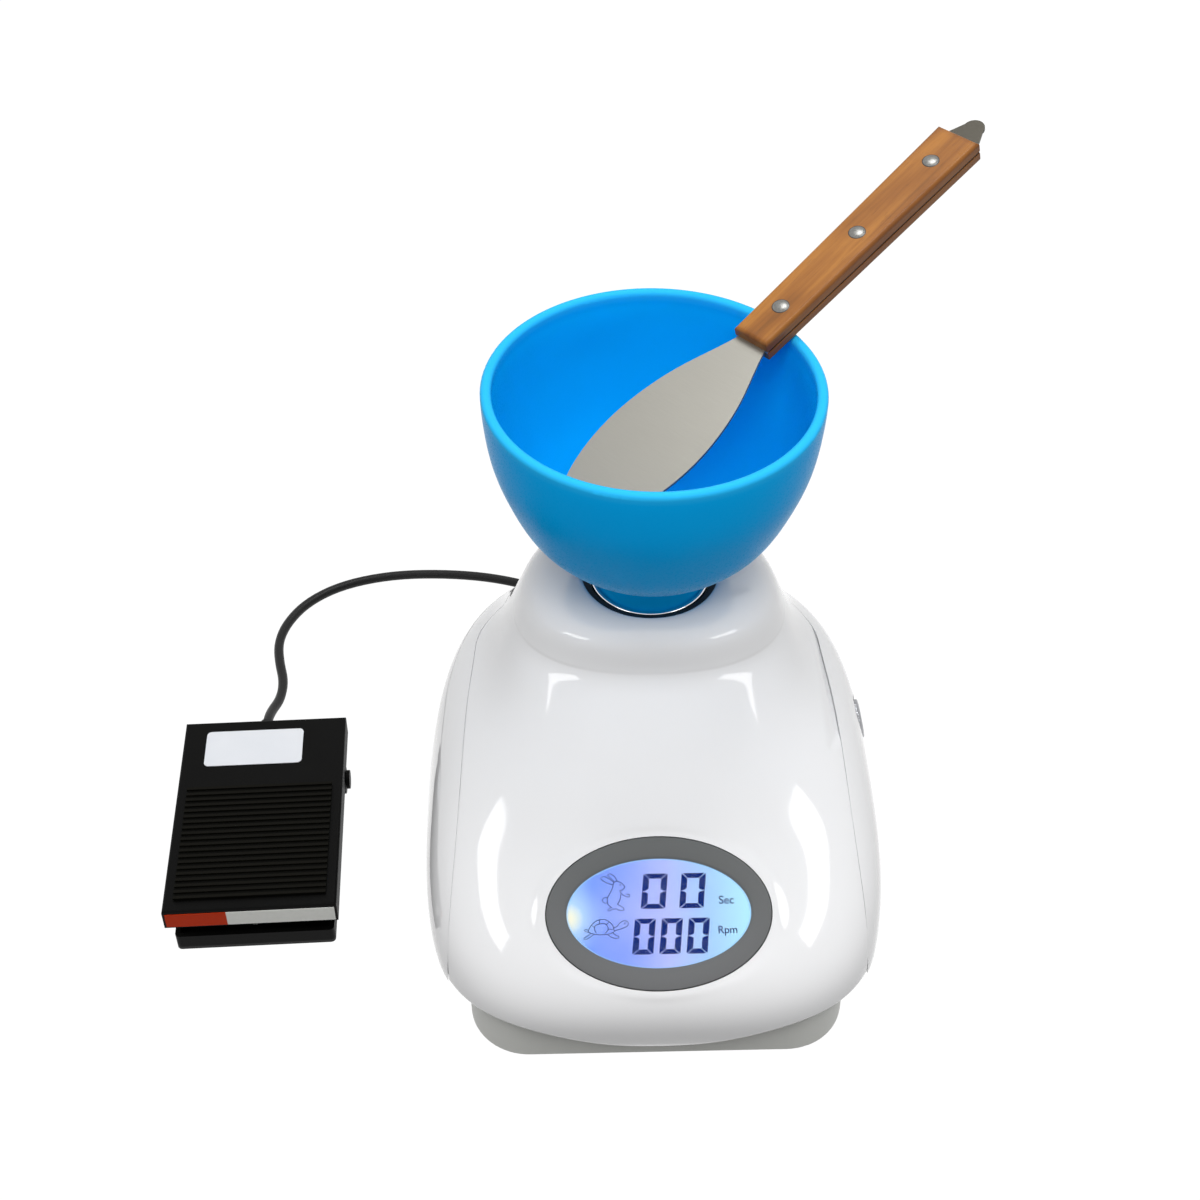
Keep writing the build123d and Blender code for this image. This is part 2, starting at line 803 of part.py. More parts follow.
large_line = belt_line(spindle_pulley_radius)
small_line = belt_line(motor_pulley_radius)
belt_lean = (large_line - small_line) / abs(motor_centre_y)
belt_out = sqrt(1 - belt_lean**2)
large_touch = (large_line * belt_out, -large_line * belt_lean)
small_touch = (small_line * belt_out, motor_centre_y - small_line * belt_lean)

with BuildPart() as drive_belt:
    with BuildLine(Plane.XY.offset(belt_height)) as belt_path:
        ThreePointArc((large_touch[0], large_touch[1]), (0, large_line), (-large_touch[0], large_touch[1]))
        Line((-large_touch[0], large_touch[1]), (-small_touch[0], small_touch[1]))
        ThreePointArc(
            (-small_touch[0], small_touch[1]),
            (0, motor_centre_y - small_line),
            (small_touch[0], small_touch[1]),
        )
        Line((small_touch[0], small_touch[1]), (large_touch[0], large_touch[1]))
    with BuildSketch(Plane(origin=belt_path.wires()[0] @ 0, z_dir=belt_path.wires()[0] % 0)):
        Circle(belt_radius)
    sweep()
write(drive_belt.part, "drive_belt")

with BuildPart() as drive_motor:
    with BuildSketch(Plane.XY.offset(motor_bottom)):
        with Locations((0, motor_centre_y)):
            Circle(motor_radius)
    extrude(amount=motor_top - motor_bottom)
    fillet(drive_motor.edges().filter_by(GeomType.CIRCLE), 1.5)
    with BuildSketch(Plane.XY.offset(motor_top)):
        with Locations((0, motor_centre_y)):
            Circle(motor_boss_radius)
    extrude(amount=bracket_thickness)
    with BuildSketch(Plane.XY.offset(motor_bottom + 6)):
        with Locations((0, motor_centre_y)):
            Circle(motor_shaft_radius + bearing_running_gap)
    extrude(amount=motor_top, mode=Mode.SUBTRACT)
write(drive_motor.part, "drive_motor")

with BuildPart() as motor_shaft:
    with BuildSketch(Plane.XY.offset(motor_bottom + 6.3)):
        with Locations((0, motor_centre_y)):
            Circle(motor_shaft_radius)
    extrude(amount=motor_shaft_top - motor_bottom - 6.3)
write(motor_shaft.part, "motor_shaft")

with BuildPart() as motor_bracket:
    with BuildSketch(Plane.XY.offset(motor_top)):
        with Locations((0, motor_centre_y)):
            RectangleRounded(bracket_width, bracket_depth, 5)
            Circle(motor_boss_radius, mode=Mode.SUBTRACT)
        with Locations(*MOTOR_POSTS):
            Circle(screw_hole_radius, mode=Mode.SUBTRACT)
    extrude(amount=bracket_thickness)
write(motor_bracket.part, "motor_bracket")


# ---------------------------------------------------------------- electronics in the tray

STANDOFFS = [(x + a * 9.0, y + b * 29.5) for x, y in BOARDS for a in (-1, 1) for b in (-1, 1)]
board_base = floor_top + standoff_height
board_top = board_base + board_thickness

with BuildPart() as board_standoffs:
    with BuildSketch(Plane.XY.offset(floor_top)):
        with Locations(*STANDOFFS):
            RegularPolygon(2.8, 6)
            Circle(1.3, mode=Mode.SUBTRACT)
    extrude(amount=standoff_height)
write(board_standoffs.part, "board_standoffs")


def circuit_board(centre, node):
    """A board with its four fixing holes."""
    with BuildPart() as board:
        with BuildSketch(Plane.XY.offset(board_base)):
            with Locations(centre):
                RectangleRounded(board_width, board_length, 1.5)
            with Locations(*[place for place in STANDOFFS if place[0] * centre[0] > 0]):
                Circle(1.4, mode=Mode.SUBTRACT)
        extrude(amount=board_thickness)
    write(board.part, node)


circuit_board(BOARDS[0], "power_board")
circuit_board(BOARDS[1], "control_board")
write(pan_screws(upright(STANDOFFS, board_top), 5.5, radius=1.2, head=2.2), "board_screws")

with BuildPart() as board_parts:
    for board, across, along, width, length, height in BLOCKS:
        with BuildSketch(Plane.XY.offset(board_top)):
            with Locations((BOARDS[board][0] + across, BOARDS[board][1] + along)):
                Rectangle(width, length)
        extrude(amount=height)
    for board, across, along, radius, height in CANS:
        with BuildSketch(Plane.XY.offset(board_top)):
            with Locations((BOARDS[board][0] + across, BOARDS[board][1] + along)):
                Circle(radius)
        extrude(amount=height)
write(board_parts.part, "board_parts")

with BuildPart() as transformer_core:
    with BuildSketch(Plane.XY.offset(floor_top)):
        with Locations((0, transformer_y)):
            Rectangle(transformer_width, transformer_stack)
    extrude(amount=transformer_height)
    slot_z = floor_top + transformer_height / 2
    with BuildSketch(Plane.XZ.offset(-transformer_y)):
        with Locations((-9.5, slot_z), (9.5, slot_z)):
            Rectangle(8, transformer_height - 9)
    extrude(amount=transformer_stack, both=True, mode=Mode.SUBTRACT)
write(transformer_core.part, "transformer_core")

with BuildPart() as transformer_winding:
    with BuildSketch(Plane.XY.offset(floor_top + 4.7)):
        with Locations((0, transformer_y)):
            RectangleRounded(26.6, transformer_stack + 2 * winding_margin, 3)
            Rectangle(11.2, transformer_stack + 0.2, mode=Mode.SUBTRACT)
    extrude(amount=transformer_height - 9.4)
write(transformer_winding.part, "transformer_winding")


# ---------------------------------------------------------------- display

# The flange behind the hood, kept clear of the hood's inside.
with BuildPart() as bezel_flange:
    with BuildSketch(display_plane.offset(-flange_back)):
        Ellipse(bezel_half_width + flange_margin, bezel_half_height + flange_margin)
    extrude(amount=flange_thickness)
    add(housing_body(shell_wall + bezel_clearance), mode=Mode.INTERSECT)

with BuildPart() as display_bezel:
    with BuildSketch(display_plane.offset(-bezel_depth)):
        Ellipse(bezel_half_width, bezel_half_height)
    extrude(amount=bezel_depth + bezel_proud)
    fillet(display_bezel.faces().sort_by(Axis(display_plane.origin, display_plane.z_dir))[-1].edges(), 0.5)
    add(bezel_flange.part)
    with BuildSketch(display_plane.offset(-flange_back)):
        Ellipse(window_half_width - window_ledge, window_half_height - window_ledge)
    extrude(amount=flange_back + 5, mode=Mode.SUBTRACT)
    with BuildSketch(display_plane.offset(-window_sunk - window_thickness)):
        Ellipse(window_half_width, window_half_height)
    extrude(amount=10, mode=Mode.SUBTRACT)
    # Posts that carry the display board
    with BuildSketch(display_plane.offset(-flange_back)):
        with GridLocations(72, 28, 2, 2):
            Circle(2.6)
    extrude(amount=-2.4)
write(display_bezel.part, "display_bezel")

with BuildPart() as display_window:
    with BuildSketch(display_plane.offset(-window_sunk - window_thickness)):
        Ellipse(window_half_width - 0.1, window_half_height - 0.1)
    extrude(amount=window_thickness)
write(display_window.part, "display_window")

glass_top = -window_sunk - window_thickness - 0.1

with BuildPart() as display_glass:
    with BuildSketch(display_plane.offset(glass_top - glass_thickness)):
        Ellipse(window_half_width - window_ledge - 0.1, window_half_height - window_ledge - 0.1)
    extrude(amount=glass_thickness)
write(display_glass.part, "display_glass")

with BuildPart() as display_backlight:
    with BuildSketch(display_plane.offset(glass_top - glass_thickness - backlight_thickness)):
        Ellipse(window_half_width - window_ledge - 0.4, window_half_height - window_ledge - 0.4)
    extrude(amount=backlight_thickness)
write(display_backlight.part, "display_backlight")

with BuildPart() as display_board:
    with BuildSketch(display_plane.offset(-flange_back - 2.4 - board_thickness)):
        RectangleRounded(80, 36, 2)
    extrude(amount=board_thickness)
write(display_board.part, "display_board")


# ---------------------------------------------------------------- speed knob

knob_back = knob_standing_out - knob_height

with BuildPart() as speed_knob:
    with BuildSketch(knob_plane.offset(knob_back)):
        Circle(knob_radius)
    extrude(amount=knob_height)
    fillet(speed_knob.edges().filter_by(GeomType.CIRCLE), 0.9)
    with BuildSketch(knob_plane.offset(knob_back)):
        with PolarLocations(knob_radius + 0.25, 24):
            Circle(0.55)
    extrude(amount=knob_height - 2.0, mode=Mode.SUBTRACT)
    with BuildSketch(knob_plane.offset(knob_back)):
        Circle(knob_shaft_radius)
    extrude(amount=knob_height - 3.5, mode=Mode.SUBTRACT)
    with BuildSketch(knob_plane.offset(knob_standing_out - 0.5)):
        with Locations((0, knob_radius * 0.62)):
            SlotOverall(knob_radius * 0.5, 1.2, rotation=90)
    extrude(amount=1, mode=Mode.SUBTRACT)
write(speed_knob.part, "speed_knob")

cup_back = -cup_depth - cup_wall
encoder_back = cup_back - encoder_depth

with BuildPart() as knob_shaft:
    with BuildSketch(knob_plane.offset(encoder_back + 1.5)):
        Circle(knob_shaft_radius)
    extrude(amount=knob_standing_out - 3.7 - encoder_back - 1.5)
write(knob_shaft.part, "knob_shaft")

with BuildPart() as speed_encoder:
    with BuildSketch(knob_plane.offset(encoder_back)):
        RectangleRounded(encoder_side, encoder_side, 1)
    extrude(amount=encoder_depth)
    with BuildSketch(knob_plane.offset(cup_back)):
        Circle(knob_shaft_radius + 1.5)
    extrude(amount=cup_wall + 0.2)
    with BuildSketch(knob_plane.offset(encoder_back + 1.2)):
        Circle(knob_shaft_radius + bearing_running_gap)
    extrude(amount=encoder_depth + 10, mode=Mode.SUBTRACT)
write(speed_encoder.part, "speed_encoder")


# ---------------------------------------------------------------- rear panel pieces
# Planes here face the back; on them x runs to the left of the machine and y runs up.


def panel_plane(x, z, out=0.0):
    """A plane on the rear panel, facing outwards."""
    return Plane(origin=(x, panel_face_y + out, z), x_dir=(-1, 0, 0), z_dir=(0, 1, 0))


drawer_drop = drawer_z - module_z
inlet_rise = inlet_z - module_z

with BuildPart() as mains_inlet:
    with BuildSketch(panel_plane(inlet_x, module_z, -inlet_depth)):
        Rectangle(inlet_width - 0.4, module_height - 0.4)
    extrude(amount=inlet_depth)
    with BuildSketch(panel_plane(inlet_x, module_z)):
        RectangleRounded(inlet_width + 2 * inlet_flange, module_height + 2 * inlet_flange, 1.5)
    extrude(amount=inlet_flange_thickness)
    with BuildSketch(panel_plane(inlet_x, module_z, inlet_flange_thickness)):
        with Locations((0, inlet_rise)):
            RectangleRounded(inlet_cavity_width, inlet_cavity_height, 3)
    extrude(amount=-inlet_cavity_depth, mode=Mode.SUBTRACT)
    with BuildSketch(panel_plane(inlet_x, module_z, inlet_flange_thickness)):
        with Locations((0, drawer_drop)):
            Rectangle(drawer_width + 2 * drawer_gap, drawer_height + 2 * drawer_gap)
    extrude(amount=-drawer_length - drawer_gap, mode=Mode.SUBTRACT)
    with BuildSketch(panel_plane(inlet_x, module_z, inlet_flange_thickness - inlet_cavity_depth)):
        with Locations((-pin_spread, inlet_rise - 2), (pin_spread, inlet_rise - 2), (0, inlet_rise + 3)):
            Rectangle(pin_width, pin_height)
    extrude(amount=pin_length)
write(mains_inlet.part, "mains_inlet")

with BuildPart() as fuse_drawer:
    with BuildSketch(panel_plane(inlet_x, drawer_z, inlet_flange_thickness)):
        Rectangle(drawer_width, drawer_height)
    extrude(amount=-drawer_length)
    with BuildSketch(panel_plane(inlet_x, drawer_z, inlet_flange_thickness)):
        RectangleRounded(drawer_width + 2.4, drawer_height - 0.2, 0.8)
    extrude(amount=drawer_face_thickness)
    with BuildSketch(Plane.XY.offset(drawer_z + drawer_height / 2)):
        with Locations((inlet_x, panel_face_y + inlet_flange_thickness - drawer_length / 2)):
            Rectangle(fuse_length + 0.6, 2 * fuse_radius + 0.4)
    extrude(amount=-drawer_height + 0.8, mode=Mode.SUBTRACT)
write(fuse_drawer.part, "fuse_drawer")

with BuildPart() as mains_fuse:
    with Locations(
        Location(
            (
                inlet_x,
                panel_face_y + inlet_flange_thickness - drawer_length / 2,
                drawer_z - drawer_height / 2 + 0.9 + fuse_radius,
            ),
            (0, 90, 0),
        )
    ):
        Cylinder(fuse_radius, fuse_length)
write(mains_fuse.part, "mains_fuse")

frame_width = rocker_width + 2 * rocker_gap
frame_height = rocker_height + 2 * rocker_gap

with BuildPart() as switch_frame:
    with BuildSketch(panel_plane(rocker_x, rocker_z, -rocker_frame_depth)):
        Rectangle(rocker_width + 2 * rocker_frame_wall - 0.4, rocker_height + 2 * rocker_frame_wall - 0.4)
    extrude(amount=rocker_frame_depth)
    with BuildSketch(panel_plane(rocker_x, rocker_z)):
        RectangleRounded(rocker_width + 7, rocker_height + 7, 1.5)
    extrude(amount=1.6)
    with BuildSketch(panel_plane(rocker_x, rocker_z, -rocker_frame_depth + 4)):
        Rectangle(frame_width, frame_height)
    extrude(amount=rocker_frame_depth, mode=Mode.SUBTRACT)
write(switch_frame.part, "switch_frame")

rocker_half = rocker_height / 2 - 0.6
rocker_side = Plane(
    origin=(rocker_x, panel_face_y - rocker_pivot_depth, rocker_z),
    x_dir=(0, sin(radians(rocker_rest_tilt)), cos(radians(rocker_rest_tilt))),
    z_dir=(-1, 0, 0),
)

with BuildPart() as power_rocker:
    with BuildSketch(rocker_side):
        with BuildLine():
            Polyline(
                (-rocker_half, 4.2),
                (0, 3.0),
                (rocker_half, 4.2),
                (rocker_half, 1.0),
                (4.0, -2.6),
                (-4.0, -2.6),
                (-rocker_half, 1.0),
                (-rocker_half, 4.2),
            )
        make_face()
    extrude(amount=rocker_width / 2, both=True)
write(power_rocker.part, "power_rocker")

with BuildPart() as foot_socket:
    with BuildSketch(panel_plane(socket_x, socket_z, -18)):
        Circle(socket_radius)
    extrude(amount=18)
    with BuildSketch(panel_plane(socket_x, socket_z)):
        RegularPolygon(socket_radius + 2.2, 6)
    extrude(amount=2.2)
    with BuildSketch(panel_plane(socket_x, socket_z, 2.2)):
        Circle(socket_bore_radius)
    extrude(amount=-19, mode=Mode.SUBTRACT)
write(foot_socket.part, "foot_socket")


# ---------------------------------------------------------------- mixing bowl

foot_bottom = seat_floor_top + bowl_foot_gap
rim_outer = BOWL_OUTER[-1][0]
rim_straight = BOWL_OUTER[-1][1]


def bowl_inner_points():
    """The outer curve moved in by the wall, square to itself, above the floor."""
    points = []
    for (r0, z0), (r1, z1) in zip(BOWL_OUTER[1:], BOWL_OUTER[2:]):
        length = hypot(r1 - r0, z1 - z0)
        inner_radius = (r0 + r1) / 2 - bowl_wall * (z1 - z0) / length
        inner_height = (z0 + z1) / 2 + bowl_wall * (r1 - r0) / length
        points.append((inner_radius, inner_height))
    points.append((rim_outer - bowl_wall, rim_straight))
    return points


with BuildPart() as mixing_bowl:
    with BuildSketch(Plane.XZ):
        with BuildLine():
            inner = bowl_inner_points()
            Line((0, foot_bottom), (bowl_foot_radius - 0.6, foot_bottom))
            Line((bowl_foot_radius - 0.6, foot_bottom), (bowl_foot_radius, foot_bottom + 0.6))
            Line((bowl_foot_radius, foot_bottom + 0.6), BOWL_OUTER[0])
            Spline(*BOWL_OUTER, tangents=((0.75, 1), (0, 1)), tangent_scalars=(0.6, 1))
            ThreePointArc(
                (rim_outer, rim_straight),
                (rim_outer - bowl_wall / 2, bowl_rim_height),
                (rim_outer - bowl_wall, rim_straight),
            )
            Spline((0, bowl_floor), *inner, tangents=((1, 0), (0, 1)))
            Line((0, bowl_floor), (0, foot_bottom))
        make_face()
    revolve(axis=Axis.Z)
    with BuildSketch(Plane.XY.offset(foot_bottom)):
        Circle(core_radius)
    extrude(amount=core_top - foot_bottom, mode=Mode.SUBTRACT)
write(mixing_bowl.part, "mixing_bowl")

with BuildPart() as bowl_core:
    with BuildSketch(Plane.XY.offset(foot_bottom)):
        Circle(core_radius)
        with PolarLocations(core_radius - 4.5, 4):
            Circle(1.6, mode=Mode.SUBTRACT)
    extrude(amount=core_top - foot_bottom)
write(bowl_core.part, "bowl_core")


# ---------------------------------------------------------------- spatula
# On its plane x runs along the handle, away from the blade, and z is square to the blade.

azimuth = radians(handle_azimuth)
slope = radians(handle_slope)
spatula_plane = Plane(
    origin=handle_start,
    x_dir=(cos(slope) * cos(azimuth), cos(slope) * sin(azimuth), sin(slope)),
    z_dir=(-sin(slope) * cos(azimuth), -sin(slope) * sin(azimuth), cos(slope)),
)
near_half = handle_near_width / 2
far_half = handle_far_width / 2

with BuildPart() as spatula_blade:
    with BuildSketch(spatula_plane.offset(-tang_thickness / 2)):
        with BuildLine():
            upper = [(-along, half) for along, half in BLADE_SHAPE]
            lower = [(x, -y) for x, y in reversed(upper)]
            Spline(*upper, (-blade_length, 0), *lower)
            Line(lower[-1], (0, -near_half + 0.3))
            Line((0, -near_half + 0.3), (handle_length, -far_half + 0.3))
            Line((handle_length, -far_half + 0.3), (handle_length + 1.5, -far_half + 2.2))
            Line(
                (handle_length + 1.5, -far_half + 2.2),
                (handle_length + tab_length - tab_tip_radius, -tab_tip_radius),
            )
            ThreePointArc(
                (handle_length + tab_length - tab_tip_radius, -tab_tip_radius),
                (handle_length + tab_length, 0),
                (handle_length + tab_length - tab_tip_radius, tab_tip_radius),
            )
            Line(
                (handle_length + tab_length - tab_tip_radius, tab_tip_radius),
                (handle_length + 1.5, far_half - 2.2),
            )
            Line((handle_length + 1.5, far_half - 2.2), (handle_length, far_half - 0.3))
            Line((handle_length, far_half - 0.3), (0, near_half - 0.3))
            Line((0, near_half - 0.3), upper[0])
        make_face()
        with Locations(*[(x, 0) for x in RIVET_PLACES]):
            Circle(rivet_radius * 0.6, mode=Mode.SUBTRACT)
    extrude(amount=tang_thickness)
write(spatula_blade.part, "spatula_blade")


def handle_scale(side, node):
    """One wooden half of the handle, on one face of the tang."""
    with BuildPart() as scale:
        with BuildSketch(spatula_plane.offset(side * tang_thickness / 2)):
            with BuildLine():
                Polyline(
                    (0, -near_half),
                    (handle_length, -far_half),
                    (handle_length, far_half),
                    (0, near_half),
                    close=True,
                )
            make_face()
        extrude(amount=side * scale_thickness)
        outward = Axis(spatula_plane.origin, spatula_plane.z_dir * side)
        fillet(scale.faces().sort_by(outward)[-1].edges(), 1.5)
        with BuildSketch(spatula_plane.offset(side * tang_thickness / 2)):
            with Locations(*[(x, 0) for x in RIVET_PLACES]):
                Circle(rivet_radius * 0.6)
        extrude(amount=side * scale_thickness, mode=Mode.SUBTRACT)
        with BuildSketch(spatula_plane.offset(side * (tang_thickness / 2 + scale_thickness - 0.8))):
            with Locations(*[(x, 0) for x in RIVET_PLACES]):
                Circle(rivet_radius)
        extrude(amount=side * 2, mode=Mode.SUBTRACT)
    write(scale.part, node)


handle_scale(1, "scale_front")
handle_scale(-1, "scale_back")
rivet_half = tang_thickness / 2 + scale_thickness

with BuildPart() as handle_rivets:
    with BuildSketch(spatula_plane.offset(-rivet_half)):
        with Locations(*[(x, 0) for x in RIVET_PLACES]):
            Circle(rivet_radius * 0.6)
    extrude(amount=2 * rivet_half)
    for side in (-1, 1):
        with BuildSketch(spatula_plane.offset(side * (rivet_half - 0.8))):
            with Locations(*[(x, 0) for x in RIVET_PLACES]):
                Circle(rivet_radius)
        extrude(amount=side * (0.8 + rivet_proud))
write(handle_rivets.part, "handle_rivets")


# ---------------------------------------------------------------- foot pedal
# On the pedal's own plane x runs across the treadle and y runs from its toe edge to the hinge end.

turn = radians(pedal_turn)
pedal_origin = (pedal_x, pedal_y, 0)
pedal_right = (cos(turn), sin(turn), 0)
pedal_ahead = (-sin(turn), cos(turn), 0)
pedal_plane = Plane(origin=pedal_origin, x_dir=pedal_right, z_dir=(0, 0, 1))
across_plane = Plane(origin=pedal_origin, x_dir=pedal_ahead, z_dir=pedal_right)
toe_plane = Plane(origin=pedal_origin, x_dir=pedal_right, z_dir=(sin(turn), -cos(turn), 0))
base_half_length = pedal_base_length / 2
base_floor_top = pedal_sole_thickness + pedal_base_floor

with BuildPart() as pedal_sole:
    with BuildSketch(pedal_plane):
        RectangleRounded(pedal_base_width, pedal_base_length, 2)
    extrude(amount=pedal_sole_thickness)
write(pedal_sole.part, "pedal_sole")

with BuildPart() as pedal_base:
    with BuildSketch(pedal_plane.offset(pedal_sole_thickness)):
        RectangleRounded(pedal_base_width, pedal_base_length, 2)
    extrude(amount=pedal_base_back_height - pedal_sole_thickness)
    with BuildSketch(pedal_plane.offset(base_floor_top)):
        Rectangle(pedal_base_width - 2 * pedal_base_wall, pedal_base_length - 2 * pedal_base_wall)
    extrude(amount=pedal_base_back_height, mode=Mode.SUBTRACT)
    # The side walls slope down to the toe.
    with BuildSketch(across_plane):
        with BuildLine():
            Polyline(
                (-base_half_length - 1, pedal_base_front_height),
                (-base_half_length + 14, pedal_base_front_height),
                (hinge_y - 14, pedal_base_back_height),
                (hinge_y - 14, pedal_base_back_height + 5),
                (-base_half_length - 1, pedal_base_back_height + 5),
                close=True,
            )
        make_face()
    extrude(amount=pedal_base_width, both=True, mode=Mode.SUBTRACT)
    with BuildSketch(across_plane):
        with Locations((hinge_y, hinge_z)):
            Circle(hinge_pin_radius)
    extrude(amount=pedal_base_width, both=True, mode=Mode.SUBTRACT)
    with BuildSketch(toe_plane):
        with Locations((gland_x, gland_z)):
            Circle(gland_radius)
    extrude(amount=-pedal_base_length, mode=Mode.SUBTRACT)
write(pedal_base.part, "pedal_base")

treadle_half = treadle_width / 2
toe_y = -treadle_length / 2

with BuildPart() as treadle:
    with BuildSketch(pedal_plane.offset(treadle_lip_bottom)):
        Rectangle(treadle_width, treadle_length)
    extrude(amount=treadle_top - treadle_lip_bottom)
    fillet(treadle.faces().sort_by(Axis.Z)[-1].edges(), 1.2)
    # Ears around the hinge pin
    with BuildSketch(across_plane.offset(-treadle_half)):
        with Locations((hinge_y, hinge_z)):
            Circle(hinge_ear_radius)
    extrude(amount=treadle_width)
    with BuildSketch(pedal_plane):
        with Locations((0, treadle_sheet)):
            Rectangle(treadle_width - 2 * treadle_sheet, treadle_length)
    extrude(amount=treadle_top - treadle_sheet, mode=Mode.SUBTRACT)
    with BuildSketch(across_plane):
        with Locations((hinge_y, hinge_z)):
            Circle(hinge_pin_radius + hinge_pin_clearance)
    extrude(amount=treadle_width, both=True, mode=Mode.SUBTRACT)
write(treadle.part, "treadle")

pin_half = treadle_half + hinge_pin_overhang

with BuildPart() as hinge_pin:
    with BuildSketch(across_plane.offset(-pin_half)):
        with Locations((hinge_y, hinge_z)):
            Circle(hinge_pin_radius)
    extrude(amount=2 * pin_half)
    for side in (-1, 1):
        with BuildSketch(across_plane.offset(side * pin_half)):
            with Locations((hinge_y, hinge_z)):
                Circle(hinge_head_radius)
        extrude(amount=side * hinge_head_thickness)
write(hinge_pin.part, "hinge_pin")

rib_pitch = (pad_length - pad_rib_width) / (pad_rib_count - 1)

with BuildPart() as tread_pad:
    with BuildSketch(pedal_plane.offset(treadle_top)):
        with Locations((0, pad_centre_y)):
            RectangleRounded(pad_width, pad_length, 1)
    extrude(amount=pad_base)
    with BuildSketch(pedal_plane.offset(treadle_top + pad_base)):
        with Locations((0, pad_centre_y)):
            with GridLocations(0, rib_pitch, 1, pad_rib_count):
                Rectangle(pad_width, pad_rib_width)
    extrude(amount=pad_rib_height)
write(tread_pad.part, "tread_pad")

with BuildPart() as label_plate:
    with BuildSketch(pedal_plane.offset(treadle_top)):
        with Locations((label_x, label_y)):
            RectangleRounded(label_width, label_length, 2)
    extrude(amount=label_thickness)
write(label_plate.part, "label_plate")

strip_z = (treadle_top - 1.2 + treadle_lip_bottom) / 2

with BuildPart() as lip_strip:
    with BuildSketch(toe_plane.offset(-toe_y)):
        with Locations((0, strip_z)):
            Rectangle(treadle_width - 2, strip_height)
    extrude(amount=strip_thickness)
write(lip_strip.part, "lip_strip")

spring_height = treadle_top - treadle_sheet - base_floor_top - 0.4
spring_rise = spring_height - 2 * spring_wire
spring_foot = tuple(pedal_plane.from_local_coords(Vector(0, spring_y, base_floor_top + 0.2 + spring_wire)))

with BuildPart() as pedal_spring:
    with BuildLine():
        spring_path = Helix(spring_rise / spring_turns, spring_rise, spring_radius, center=spring_foot)
    with BuildSketch(Plane(origin=spring_path @ 0, z_dir=spring_path % 0)):
        Circle(spring_wire)
    sweep(is_frenet=True)
write(pedal_spring.part, "pedal_spring")

plunger_top = treadle_top - treadle_sheet - plunger_gap

with BuildPart() as micro_switch:
    with BuildSketch(pedal_plane.offset(base_floor_top)):
        with Locations((0, switch_y)):
            Rectangle(switch_body[0], switch_body[1])
    extrude(amount=switch_body[2])
    with BuildSketch(pedal_plane.offset(base_floor_top + switch_body[2] - 2 * plunger_travel)):
        with Locations((0, switch_y)):
            Circle(plunger_radius + bearing_running_gap)
    extrude(amount=2 * plunger_travel, mode=Mode.SUBTRACT)
write(micro_switch.part, "micro_switch")

with BuildPart() as switch_plunger:
    with BuildSketch(pedal_plane.offset(base_floor_top + switch_body[2] - plunger_travel)):
        with Locations((0, switch_y)):
            Circle(plunger_radius)
    extrude(amount=plunger_top - base_floor_top - switch_body[2] + plunger_travel)
    fillet(switch_plunger.edges().group_by(Axis.Z)[-1], 0.8)
write(switch_plunger.part, "switch_plunger")

with BuildPart() as cable_gland:
    with BuildSketch(toe_plane.offset(-base_half_length + pedal_base_wall)):
        with Locations((gland_x, gland_z)):
            Circle(gland_radius)
    extrude(amount=-gland_length - pedal_base_wall)
    with BuildSketch(toe_plane.offset(-base_half_length + pedal_base_wall)):
        with Locations((gland_x, gland_z)):
            Circle(gland_radius + 1.4)
    extrude(amount=1.5)
    fillet(cable_gland.edges().filter_by(GeomType.CIRCLE).sort_by(Axis.Y)[-1], 1.2)
write(cable_gland.part, "cable_gland")


# ---------------------------------------------------------------- pedal cable

coil_height = coil_bundle_radius + 0.1
gland_y = base_half_length + gland_length
gland_end = tuple(pedal_plane.from_local_coords(Vector(gland_x, gland_y, gland_z)))
gland_lead = tuple(pedal_plane.from_local_coords(Vector(gland_x, gland_y + cable_lead, gland_z)))


def coil_point(turned, phase):
    """A place in the coil: turned degrees round its ring, phase degrees round its bundle."""
    reach = coil_mean_radius + coil_winding_radius * cos(radians(phase))
    return Vector(
        coil_centre[0] + reach * cos(radians(turned)),
        coil_centre[1] + reach * sin(radians(turned)),
        coil_height + coil_winding_radius * sin(radians(phase)),
    )


coil_in = tuple(coil_point(180, coil_first_phase))
coil_out = tuple(coil_point(180 + 360 * coil_turns, coil_first_phase + coil_phase_sweep))
plug_end = panel_face_y + plug_shoulder_gap + plug_body_length + plug_sleeve_length

FLOOR_ROUTE = (
    gland_end,
    gland_lead,
    (-165.2, 46.0, 6.4),
    (-162.6, 56.5, 3.0),
    (-162.3, 68.5, cable_rest),
    (-165.6, 81.0, cable_rest),
    (-167.4, 94.0, cable_rest),
    (-164.4, 107.5, cable_rest),
    (-156.0, 121.5, cable_rest),
    (-140.5, 133.0, cable_rest),
    (-117.5, 139.5, cable_rest),
    (-92.0, 140.0, cable_rest),
    (-67.0, 136.5, cable_rest),
    (-44.0, 128.0, cable_rest),
    (-26.5, 117.0, 3.0),
    (-17.6, 107.5, 4.0),
    coil_in,
)
PLUG_ROUTE = (
    coil_out,
    (0.5, 127.6, 16.0),
    (-12.0, 124.0, 22.0),
    (-22.0, 116.5, 30.0),
    (-27.4, 107.0, 38.0),
    (socket_x, plug_end + cable_lead, socket_z),
    (socket_x, plug_end, socket_z),
)


def bend_radii(route):
    """The largest radius for each corner: 0.45 of its shorter run, over the tangent of half its turn."""
    radii = []
    for before, corner, after in zip(route, route[1:], route[2:]):
        first = Vector(*corner) - Vector(*before)
        second = Vector(*after) - Vector(*corner)
        turned = radians(first.get_angle(second))
        radii.append(0.45 * min(first.length, second.length) / tan(turned / 2))
    return radii


